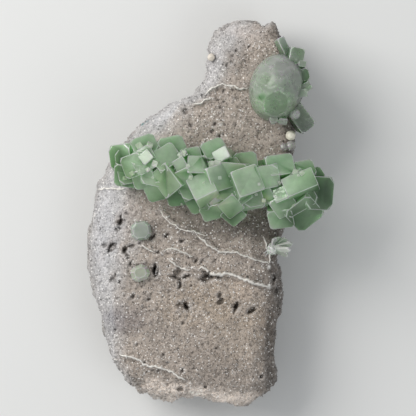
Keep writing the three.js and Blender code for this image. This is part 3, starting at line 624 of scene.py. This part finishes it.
def sink_pits(places, normals):
    """Pushes the pits into the face, and returns how much painted shade each vertex gets in them, more in
    deeper pits.
    """
    dark = np.zeros(len(places))
    upward = normals[:, 2] > 0.1
    for place, half, turn, depth in pit_list():
        away = places[:, :2] - on_slab(place)
        near = np.flatnonzero(upward & (np.hypot(away[:, 0], away[:, 1]) < 2 * max(half) * MM))
        angle = math.radians(turn)
        along = away[near] @ np.array([math.cos(angle), math.sin(angle)])
        across = away[near] @ np.array([-math.sin(angle), math.cos(angle)])
        ragged = np.array([noise.noise(Vector(p) * PIT_NOISE) for p in places[near]])
        reach = np.hypot(along / (half[0] * MM), across / (half[1] * MM)) + PIT_RAGGED * ragged
        fall = np.clip((1.1 - reach) / PIT_WALL, 0, 1)
        places[near, 2] -= depth * MM * fall
        # painted shade, darker in deeper pits
        dark[near] = np.maximum(dark[near], fall * min(0.95, 0.1 + depth / 4.5))
    return dark


def cloud_at(place):
    """Uneven noise at a place, broad and fine."""
    broad, fine = (noise.noise(Vector(place) * scale) for scale in CLOUD_SCALES)
    return broad + CLOUD_FINE * fine


def flecked(tint, places):
    """Tints with the small flecks on them, each only near the top of the rock where it lies."""
    for place, radius, colour in FLECKS:
        share = patch_share(places, place, (radius, radius))
        top = places[share[:, 0] > 0, 2].max()
        share = share * (places[:, 2] > top - 2 * radius * MM)[:, None]
        tint = tint + share * (np.array(colour) - tint)
    return tint


def rock_tint(places, broad_normals, proud, dark):
    """Colour of each vertex: beige; paler on crests and on the left slopes, which face the key lamp and
    there are partly painted light; darker on the sides; painted shade on the right side, in hollows and in
    pits.
    """
    low = LOW_SHARE * np.clip((LOW_TOP - places[:, 2]) / LOW_FADE, 0, 1)[:, None]
    cloud = np.array([cloud_at(place) for place in places])
    # paler on slopes that face the key lamp: partly the stone's whiter colour, partly painted light
    lean = 0.45 * broad_normals[:, 1] - broad_normals[:, 0] + CLOUD_SHARE * cloud
    lit_slope = np.clip((lean - 0.1) / 0.55, 0, 1)[:, None]
    tint = ROCK_TINT + lit_slope * (PALE_TINT - ROCK_TINT)
    tint = tint * (1 - low) + SIDE_TINT * low
    tint = patched(tint, places, ROCK_PATCHES, RAGGED * cloud)
    # painted shade on the right side, which faces away from the key lamp
    right = np.clip((broad_normals[:, 0] - 0.2 + CLOUD_SHARE * cloud) / 0.5, 0, 1)[:, None]
    tint = tint * (1 - RIGHT_SIDE_PAINTED_SHADE * right)
    crest = np.clip(proud / CREST_RISE, 0, 1)[:, None]
    hollow_shade = np.clip(-proud / HOLLOW_DEPTH, 0, 1)[:, None]
    tint = tint + 0.4 * crest * (PALE_TINT - tint)
    # painted shade in hollows, with less of it on slopes that face the key lamp
    tint = tint * (1 - (0.5 - 0.25 * lit_slope) * hollow_shade)
    tint = flecked(tint, places)
    # painted shade in the pits
    return tint + 0.95 * dark[:, None] * (PIT_SHADE_TINT - tint)


def make_rock():
    voxels = ("REMESH", {"mode": "VOXEL", "voxel_size": ROCK_VOXEL})
    mesh = evaluated_copy(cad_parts["matrix"].data.copy(), voxels)
    places, normals = mesh_arrays(mesh)
    edges = mesh_edges(mesh)
    broad_normals = smoothed(normals, edges, BROAD_ROUNDS)
    bed = places[:, 2] < ROCK_BED
    places = places + normals * np.where(bed, 0, rock_relief(places, normals))[:, None]
    dark = sink_pits(places, normals)
    move_vertices(mesh, places)
    places, normals = mesh_arrays(mesh)
    proud = ((places - smoothed(places, edges, NEAR_ROUNDS)) * normals).sum(axis=1)
    set_tint(mesh, rock_tint(places, broad_normals, proud, dark))
    shade_smooth(mesh)
    rock = add_object("rock", mesh)
    finish_piece(rock, "rock", [tinted_material("rock", roughness=0.85, specks=0.2, bump=0.5)], "matrix")
    return rock


# The druse: small grains all over the rock
def grain_feet(mesh):
    """Random spots on the rock, mostly on its face: place, way out and colour of each."""
    mesh.calc_loop_triangles()
    corners = np.empty(3 * len(mesh.loop_triangles), dtype=np.int64)
    mesh.loop_triangles.foreach_get("vertices", corners)
    corners = corners.reshape(-1, 3)
    places, normals = mesh_arrays(mesh)
    tint = np.empty(4 * len(places), dtype=np.float32)
    mesh.attributes["tint"].data.foreach_get("color", tint)
    tint = tint.reshape(-1, 4)[:, :3]
    sides = [places[corners[:, k]] - places[corners[:, 0]] for k in (1, 2)]
    area = np.linalg.norm(np.cross(*sides), axis=1)
    facing = normals[corners].mean(axis=1)[:, 2]
    weight = area * np.clip(0.15 + facing, 0.1, 1) * (places[corners[:, 0], 2] > GRAIN_LOWEST)
    picked = corners[rng.choice(len(corners), size=GRAIN_COUNT, p=weight / weight.sum())]
    shares = rng.dirichlet((1, 1, 1), size=GRAIN_COUNT)[:, :, None]
    return [(values[picked] * shares).sum(axis=1) for values in (places, normals, tint)]


def grain_tint(colour):
    """Most grains are like the rock under them, some are white sparkles and some dark."""
    count = len(colour)
    kind = rng.uniform(size=count)[:, None]
    shade = rng.uniform(*GRAIN_SHADES, size=count)[:, None]
    sparkle = 0.25 * colour + 0.75 * SPARKLE_TINT
    pale = np.clip((colour.mean(axis=1, keepdims=True) - 0.31) / 0.2, 0, 1)
    dark = (0.45 + 0.3 * pale) * colour
    return np.where(kind < SPARKLE_BELOW, sparkle, np.where(kind > DARK_ABOVE, dark, colour * shade))


def make_druse(rock, crystal_tree):
    foot, out, colour = grain_feet(rock.data)
    clear = np.array([crystal_tree.ray_cast(Vector(p), UP, GRAIN_ROOM)[0] is None for p in foot])
    clear &= colour.mean(axis=1) > GRAIN_DARKEST
    foot, out, colour = foot[clear], out[clear], colour[clear]
    count = len(foot)
    out = out + GRAIN_TILT * rng.normal(size=out.shape)
    out /= np.linalg.norm(out, axis=1)[:, None]
    half = GRAIN_HALF[0] + (GRAIN_HALF[1] - GRAIN_HALF[0]) * rng.uniform(size=count) ** GRAIN_SMALLER
    along = np.cross(out, rng.normal(size=out.shape))
    along /= np.linalg.norm(along, axis=1)[:, None]
    across = np.cross(out, along)
    base = foot - out * (GRAIN_SUNK * half)[:, None]
    tip = len(GRAIN_CORNERS)
    vertices = np.empty((count, tip + 1, 3))
    for corner, (u, v) in enumerate(GRAIN_CORNERS):
        vertices[:, corner] = base + half[:, None] * (u * along + v * across)
    vertices[:, tip] = foot + out * (half * rng.uniform(*GRAIN_TIPS, size=count))[:, None]
    first = (tip + 1) * np.arange(count)[:, None]
    sides = [(corner, (corner + 1) % tip, tip) for corner in range(tip)]
    faces = np.concatenate([first + np.array(side) for side in sides])
    mesh = triangle_mesh("druse", in_box(vertices.reshape(-1, 3)), faces)
    set_tint(mesh, np.repeat(grain_tint(colour), tip + 1, axis=0))
    druse = add_object("druse", mesh)
    finish_piece(druse, "rock", [tinted_material("druse", roughness=0.4, specks=0.1, bump=0.2)])


# The veins: thin pale ribs that stand out of the face
def smooth_line(points, step):
    """Points along a smooth curve through the given ones, a step apart."""
    points = np.array(points, dtype=float)
    padded = np.vstack([2 * points[0] - points[1], points, 2 * points[-1] - points[-2]])
    line = []
    for a, b, c, d in zip(padded, padded[1:], padded[2:], padded[3:]):
        parts = max(2, int(np.linalg.norm(c - b) / step))
        for t in np.arange(parts) / parts:
            line.append(0.5 * (2 * b + (c - a) * t + (2 * a - 5 * b + 4 * c - d) * t**2
                               + (3 * b - a - 3 * c + d) * t**3))
    line.append(points[-1])
    return np.array(line)


def ground_under(tree, spot):
    """Height of the topmost surface at a spot, or 0 beside it."""
    hit = tree.ray_cast(Vector((spot[0], spot[1], SKY)), DOWN)[0]
    return hit.z if hit else 0


def vein_section(spot, way, taper, rock_tree):
    """The points across a vein at a spot on the face."""
    side = np.array([-way[1], way[0]])
    place = Vector((spot[0], spot[1], 0))
    middle = spot + side * VEIN_WINDING * noise.noise(place * WINDING_SCALE)
    ground = ground_under(rock_tree, middle)
    swell = taper * (0.85 + 0.5 * noise.noise(place * SWELL_SCALE))
    section = []
    for across, rise in VEIN_PROFILE:
        edge = middle + side * across * VEIN_HALF * swell
        section.append((edge[0], edge[1], ground + rise * VEIN_RISE * min(swell, 1.1)))
    return section


def make_veins(rock_tree):
    vertices = []
    faces = []
    row = len(VEIN_PROFILE)
    for thickness, points in VEINS:
        line = [on_slab(p) for p in smooth_line(points, VEIN_STEP / MM)]
        line = np.array([spot for spot in line if ground_under(rock_tree, spot) > VEIN_LOWEST])
        ahead = np.gradient(line, axis=0)
        ahead /= np.linalg.norm(ahead, axis=1)[:, None]
        for i, (spot, way) in enumerate(zip(line, ahead)):
            taper = thickness * min(1, VEIN_TIP + VEIN_TAPER * min(i, len(line) - 1 - i))
            last = len(vertices)
            vertices += vein_section(spot, way, taper, rock_tree)
            if i:
                before = range(last - row, last - 1)
                faces += [(k, k + row, k + row + 1, k + 1) for k in before]
            if i in (0, len(line) - 1):
                faces.append(tuple(range(last, last + row)))
        first = len(vertices) - row * len(line)
        faces += [(k, k + row - 1, k + 2 * row - 1, k + row) for k in range(first, last, row)]
    mesh = mesh_from("veins", in_box(np.array(vertices)), faces)
    # darker towards the vein's feet as painted shade
    shades = np.tile(np.array(VEIN_PAINTED_SHADES), len(vertices) // row)[:, None]
    set_tint(mesh, VEIN_COLOUR * shades)
    veins = add_object("veins", mesh)
    finish_piece(veins, "rock", [tinted_material("vein", roughness=0.6, specks=0.12, bump=0.5)])


# The crystals
def facet_shape(node_name):
    """A solid's shape with each of its flat faces made whole."""
    shape = bmesh.new()
    shape.from_mesh(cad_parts[node_name].data)
    bmesh.ops.remove_doubles(shape, verts=shape.verts, dist=SAME_POINT)
    bmesh.ops.dissolve_limit(shape, angle_limit=FLAT_ANGLE, verts=shape.verts, edges=shape.edges)
    return shape


def dome_place(point):
    """A point in terms of the large crystal's dome, which is where the length is 1."""
    middle = Vector((*on_slab(DOME_MIDDLE[:2]), DOME_MIDDLE[2] * MM))
    turned = Matrix.Rotation(math.radians(-DOME_TURN), 3, "Z") @ (point - middle)
    return Vector(turned[k] / (DOME_HALF[k] * MM) for k in range(3))


def from_dome(place):
    """The way back from dome_place."""
    middle = Vector((*on_slab(DOME_MIDDLE[:2]), DOME_MIDDLE[2] * MM))
    grown = Vector(place[k] * DOME_HALF[k] * MM for k in range(3))
    return middle + Matrix.Rotation(math.radians(DOME_TURN), 3, "Z") @ grown


def on_dome(face):
    """Whether a face belongs to the dome, apart from the flat lower face that stays flat."""
    place = dome_place(face.calc_center_median())
    steep = Vector(place[k] / DOME_HALF[k] for k in range(3))
    outward = Matrix.Rotation(math.radians(DOME_TURN), 3, "Z") @ steep
    faces_out = outward.normalized().dot(face.normal) > DOME_FACING
    lower = face.calc_area() > LOWER_AREA and face.normal.y < LOWER_LEAN
    return DOME_REACH[0] < place.length < DOME_REACH[1] and faces_out and not lower


def number_faces(shape):
    """Gives each face a number, which its parts keep; the dome's facets share one."""
    facet = shape.faces.layers.int.new("facet")
    for number, face in enumerate(shape.faces):
        curved = on_dome(face)
        face[facet] = 0 if curved else number + 1
        face.material_index = 0
        face.smooth = curved


def ledge_phase(place):
    """How far along the dome's growth ledges a place is: each whole number starts a new one."""
    slant = 0.8 * place.y + 0.5 * place.z + 0.25 * place.x**2
    return LEDGES_PER_LENGTH * (slant + 0.2 * noise.noise(place * 2.5))


def round_dome(shape):
    """Divides the dome's facets, rounds them out and puts growth ledges on them."""
    facets = [face for face in shape.faces if face.smooth]
    facets = bmesh.ops.triangulate(shape, faces=facets)["faces"]
    edges = list({edge for face in facets for edge in face.edges})
    bmesh.ops.subdivide_edges(shape, edges=edges, cuts=DOME_CUTS, use_grid_fill=True)
    for vertex in shape.verts:
        if vertex.link_faces and all(face.smooth for face in vertex.link_faces):
            place = dome_place(vertex.co)
            short = 1 - place.length
            reach = 1 - 0.45 * short * min(1, short / 0.08)
            place.normalize()
            ledge = ledge_phase(place) % 1 - 0.5
            vertex.co = from_dome(place * (reach + ledge * LEDGE_RISE / (DOME_HALF[0] * MM)))


def is_plain_top(face):
    """Whether a face is large, looks up and has a simple outline."""
    large = face.normal.z > STEP_FACING and face.calc_area() > STEP_AREA
    return large and len(face.verts) <= STEP_CORNERS and all(loop.is_convex for loop in face.loops)


def add_growth_steps(shape):
    """Raises a low step inside each large, plain, upward face."""
    tops = [face for face in shape.faces if is_plain_top(face)]
    for top in tops:
        if min(edge.calc_length() for edge in top.edges) > 1.5 * STEP_INSET:
            bmesh.ops.inset_individual(shape, faces=[top], thickness=STEP_INSET, depth=STEP_RISE,
                                       use_even_offset=True)


def is_sharp(edge):
    """Whether an edge is an outer one that isn't on the dome."""
    curved = all(face.smooth for face in edge.link_faces)
    return edge.is_convex and not curved and edge.calc_face_angle(0) > SHARP_ANGLE


def bevel_edges(shape, width):
    """Takes the sharp outer edges off; the narrow faces that this leaves get the second material and, in
    facet_tint, a painted highlight.
    """
    shape.normal_update()
    sharp = [edge for edge in shape.edges if is_sharp(edge)]
    surface = BVHTree.FromBMesh(shape)
    bmesh.ops.bevel(shape, geom=sharp, offset=width, segments=1, affect="EDGES", clamp_overlap=False,
                    material=1)
    for vertex in shape.verts:
        spot, _, _, away = surface.find_nearest(vertex.co)
        if away > STRAY:
            vertex.co = spot
    bmesh.ops.triangulate(shape, faces=shape.faces)
    bmesh.ops.dissolve_degenerate(shape, dist=TOO_SHORT, edges=shape.edges)
    bmesh.ops.triangulate(shape, faces=shape.faces)


def mesh_of(name, shape):
    mesh = bpy.data.meshes.new(name)
    shape.to_mesh(mesh)
    shape.free()
    move_vertices(mesh, mesh_arrays(mesh)[0])
    return mesh


def shelter(mesh):
    """How enclosed each vertex is by the crystals round it: 0 in the open, near 1 deep between them."""
    places, normals = mesh_arrays(mesh)
    faces = [tuple(face.vertices) for face in mesh.polygons]
    tree = BVHTree.FromPolygons([Vector(p) for p in places], faces)
    ways = []
    for height in SHELTER_HEIGHTS:
        ahead = Vector((1, 0, math.tan(math.radians(height))))
        ways += [Matrix.Rotation(math.radians(turn), 3, "Z") @ ahead for turn in SHELTER_TURNS]
    share = np.empty(len(places))
    for i, start in enumerate(places + normals * SHELTER_START):
        hits = [tree.ray_cast(Vector(start), way, SHELTER_REACH)[0] for way in ways]
        share[i] = sum(hit is not None for hit in hits) / len(ways)
    return share


def face_corners(mesh):
    """Vertex and facet number of each corner of a mesh of triangles, and whether it is on an edge that gets
    a painted highlight.
    """
    vertex = np.empty(len(mesh.loops), dtype=np.int64)
    mesh.loops.foreach_get("vertex_index", vertex)
    facet = np.empty(len(mesh.polygons), dtype=np.int64)
    mesh.attributes["facet"].data.foreach_get("value", facet)
    edge = np.empty(len(mesh.polygons), dtype=np.int64)
    mesh.polygons.foreach_get("material_index", edge)
    return vertex, np.repeat(facet, 3), np.repeat(edge, 3)[:, None] == 1


def facet_drift(spots, facet, count):
    """How far each corner lies along a random way of its facet, from -1 to 1."""
    sizes = np.maximum(np.bincount(facet, minlength=count), 1)[:, None]
    middles = np.stack([np.bincount(facet, spots[:, k], count) for k in range(3)], axis=1) / sizes
    way = rng.normal(size=(count, 3))
    way /= np.linalg.norm(way, axis=1)[:, None]
    along = ((spots - middles[facet]) * way[facet]).sum(axis=1)[:, None]
    return np.clip(along / DRIFT_LENGTH, -1, 1)


def facet_tint(mesh, colour, spread):
    """Colour of each face corner: each facet has its own shade and a gradient, crevices between crystals get
    painted shade, and its edges are paler with a painted highlight.
    """
    vertex, facet, edge = face_corners(mesh)
    spots = mesh_arrays(mesh)[0][vertex]
    count = facet.max() + 1
    shade = rng.uniform(1 - spread, 1 + spread, size=(count, 1))
    hue = rng.uniform(-HUE_SPREAD, HUE_SPREAD, size=(count, 1)) * np.array([1, 0, 1])
    drift = facet_drift(spots, facet, count)
    tint = np.array(colour) * (shade[facet] + hue[facet]) * (1 + DRIFT_SHADE * drift)
    tint = patched(tint, spots, CRYSTAL_PATCHES)
    # painted shade where neighbouring crystals enclose a place
    deep = np.clip(SHELTER_GAIN * shelter(mesh)[vertex], 0, 1)[:, None]
    deep[facet == 0] = 0  # the dome gets no painted shade and stays evenly milky
    tint = tint * (1 + deep * (CREVICE_SHADE_TINT - 1))
    for corner in np.flatnonzero(facet == 0):
        part = ledge_phase(dome_place(Vector(spots[corner])).normalized()) % 1
        tint[corner] *= LEDGE_SHADES[0] + LEDGE_SHADES[1] * part**4
    # painted highlight along the chamfered edges
    return np.where(edge, EDGE_OWN * tint + EDGE_HIGHLIGHT, tint)


def crystal_piece(name, node_name, slot, materials, colour,
                  width=EDGE_WIDTH, spread=FACET_SPREAD, steps=True):
    """A crystal solid with growth steps, chamfered edges and a tint for each facet."""
    shape = facet_shape(node_name)
    number_faces(shape)
    if steps:
        add_growth_steps(shape)
    round_dome(shape)
    bevel_edges(shape, width)
    mesh = mesh_of(name, shape)
    set_tint(mesh, facet_tint(mesh, colour, spread), "CORNER")
    piece = add_object(name, mesh)
    finish_piece(piece, slot, materials, node_name)
    return piece


def block_corners(width, deep, cut):
    """Corners of a square block whose upper corners are cut off; the middle of its top is at the origin."""
    corners = []
    for sx in (-1, 1):
        for sy in (-1, 1):
            x = sx * width / 2
            y = sy * width / 2
            corners += [(x - sx * cut, y, 0), (x, y - sy * cut, 0), (x, y, -cut), (x, y, -deep)]
    return corners


def add_block(shape, tree, place, width, turn):
    """Adds a small block that stands partly sunk in the crystal face under a place, if there is one."""
    hit, normal, _, _ = tree.ray_cast(Vector((*on_slab(place), SKY)), DOWN)
    if hit is None or hit.z < BLOCK_LOWEST or normal.z < BLOCK_SLOPE:
        return
    upright = (normal + BLOCK_LIFT * UP).normalized()
    tilt = upright.to_track_quat("Z", "Y").to_matrix().to_4x4()
    turned = tilt @ Matrix.Rotation(math.radians(turn), 4, "Z")
    stand = Matrix.Translation(hit + upright * BLOCK_RISE * width * MM) @ turned
    corners = [stand @ Vector(c) for c in block_corners(width * MM, width * MM, BLOCK_CUT * width * MM)]
    vertices = [shape.verts.new(c) for c in corners]
    bmesh.ops.convex_hull(shape, input=vertices, use_existing_faces=False)


def make_small_blocks(band, materials):
    tree = tree_of(band)
    shape = bmesh.new()
    for place, width, turn in SMALL_BLOCKS:
        add_block(shape, tree, place, width, turn)
    low, high = np.array(BLOCK_FIELD, dtype=float)
    for _ in range(BLOCK_TRIES):
        place = rng.uniform(low, high)
        add_block(shape, tree, place, rng.uniform(*BLOCK_WIDTHS), rng.uniform(0, 90))
    number_faces(shape)
    bevel_edges(shape, BLOCK_EDGE)
    mesh = mesh_of("small_blocks", shape)
    set_tint(mesh, facet_tint(mesh, BLOCK_COLOUR, BLOCK_SPREAD), "CORNER")
    blocks = add_object("small_blocks", mesh)
    finish_piece(blocks, "apophyllite", materials)


def make_crystals():
    green = crystal_material("apophyllite", transmission=0.52, roughness=(0.02, 0.14),
                             absorption=(0.50, 0.80, 0.48), density=45, cloudiness=1.0, reach=8 * MM)
    milky = crystal_material("milky_apophyllite", transmission=0.5, roughness=(0.25, 0.45),
                             absorption=(0.55, 0.80, 0.52), density=45, cloudiness=1.0, reach=8 * MM)
    pale = crystal_material("pale_apophyllite", transmission=0.55, roughness=(0.06, 0.22),
                            absorption=(0.62, 0.82, 0.60), density=30, cloudiness=0.9, reach=2 * MM)
    # material of the chamfered edges, which carry a painted highlight in their tint
    edge = tinted_material("crystal_edge_highlight", roughness=0.3, specks=0.06, bump=0.1)
    band = crystal_piece("band", "apophyllite_band", "apophyllite", [green, edge], BAND_COLOUR)
    make_small_blocks(band, [pale, edge])
    cluster = crystal_piece("upper_cluster", "upper_crystal_cluster", "apophyllite", [milky, edge],
                            CLUSTER_COLOUR)
    upper = crystal_piece("upper_single", "small_crystal_upper", "apophyllite", [pale, edge],
                          UPPER_SINGLE_COLOUR, SINGLE_EDGE)
    lower = crystal_piece("lower_single", "small_crystal_lower", "apophyllite", [pale, edge],
                          LOWER_SINGLE_COLOUR, SINGLE_EDGE)
    return [band, cluster, upper, lower]


# The beads
def make_bead(name, node_name, material, slot, colour):
    """A rounded bead: the solid's mesh, smoothed, with a slightly uneven skin."""
    mesh = evaluated_copy(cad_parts[node_name].data.copy(),
                          ("WELD", {"merge_threshold": SAME_POINT}),
                          ("REMESH", {"mode": "VOXEL", "voxel_size": BEAD_VOXEL}),
                          ("SMOOTH", {"iterations": BEAD_ROUNDS}))
    places, normals = mesh_arrays(mesh)
    lumps = np.array([noise.noise(Vector(p) * BEAD_NOISE) for p in places])
    move_vertices(mesh, places + normals * (BEAD_LUMP * lumps)[:, None])
    shade_smooth(mesh)
    set_tint(mesh, np.array(colour) * (1 + BEAD_MOTTLE * lumps[:, None]))
    finish_piece(add_object(name, mesh), slot, [material], node_name)


def make_beads():
    cream = tinted_material("cream_bead", roughness=0.45, specks=0.08, bump=0.15)
    grey = crystal_material("grey_bead", transmission=0.6, roughness=(0.06, 0.2),
                            absorption=(0.7, 0.7, 0.71), density=60, cloudiness=0.9, reach=2 * MM)
    make_bead("right_cream_bead", "cream_bead_right", cream, "cream", RIGHT_CREAM_COLOUR)
    make_bead("left_cream_bead", "cream_bead_left", cream, "cream", LEFT_CREAM_COLOUR)
    make_bead("grey_bead_pair", "grey_beads", grey, "chalcedony", GREY_COLOUR)


# The spray of blades
def make_spray():
    pearl = crystal_material("blade", transmission=0.25, roughness=(0.1, 0.25),
                             absorption=(0.8, 0.86, 0.8), density=30, cloudiness=0.4, reach=2 * MM)
    # material of the blades' chamfered edges, which carry a painted highlight in their tint
    edge = tinted_material("blade_edge_highlight", roughness=0.3, specks=0.05, bump=0.1)
    crystal_piece("spray", "blade_spray", "stilbite", [pearl, edge], SPRAY_COLOUR,
                  SPRAY_EDGE, SPRAY_SPREAD, steps=False)


# The stage
def make_floor():
    far = FLOOR_HALF
    corners = [(-far, -far, 0), (far, -far, 0), (far, far, 0), (-far, far, 0)]
    floor = add_object("floor", mesh_from("floor", corners, [(0, 1, 2, 3)]))
    floor.location.z = -FLOOR_DROP
    material, shader, _ = new_material("floor")
    shader.inputs["Base Color"].default_value = FLOOR_COLOUR
    shader.inputs["Roughness"].default_value = FLOOR_ROUGHNESS
    floor.data.materials.append(material)


def make_light(name, place, power, colour):
    light = bpy.data.lights.new(name, "AREA")
    light.size = LIGHT_SIZE
    light.energy = power
    light.color = colour
    lamp = bpy.data.objects.new(name, light)
    lamp.location = place
    lamp.rotation_euler = (LIGHT_TARGET - Vector(place)).to_track_quat("-Z", "Y").to_euler()
    bpy.context.scene.collection.objects.link(lamp)


def make_stage():
    make_floor()
    make_light("key", KEY_PLACE, KEY_POWER, KEY_COLOUR)
    make_light("fill", FILL_PLACE, FILL_POWER, FILL_COLOUR)
    world = bpy.data.worlds.new("studio")
    world.use_nodes = True
    world.node_tree.nodes["Background"].inputs["Color"].default_value = WORLD_COLOUR
    world.node_tree.nodes["Background"].inputs["Strength"].default_value = WORLD_STRENGTH
    bpy.context.scene.world = world
    bpy.context.scene.view_settings.view_transform = "Standard"


def make_camera():
    camera = bpy.data.cameras.new("camera")
    camera.sensor_width = SENSOR
    camera.lens = SENSOR * CAMERA_HEIGHT / PHOTO_SPAN
    camera.clip_end = CAMERA_LIMIT
    eye = bpy.data.objects.new("camera", camera)
    eye.location = (*on_slab(PHOTO_MIDDLE), RIM_HEIGHT + CAMERA_HEIGHT)
    bpy.context.scene.collection.objects.link(eye)
    bpy.context.scene.camera = eye


make_camera()
make_stage()
rock = make_rock()
crystals = make_crystals()
make_druse(rock, tree_of(*crystals))
make_veins(tree_of(rock))
make_beads()
make_spray()
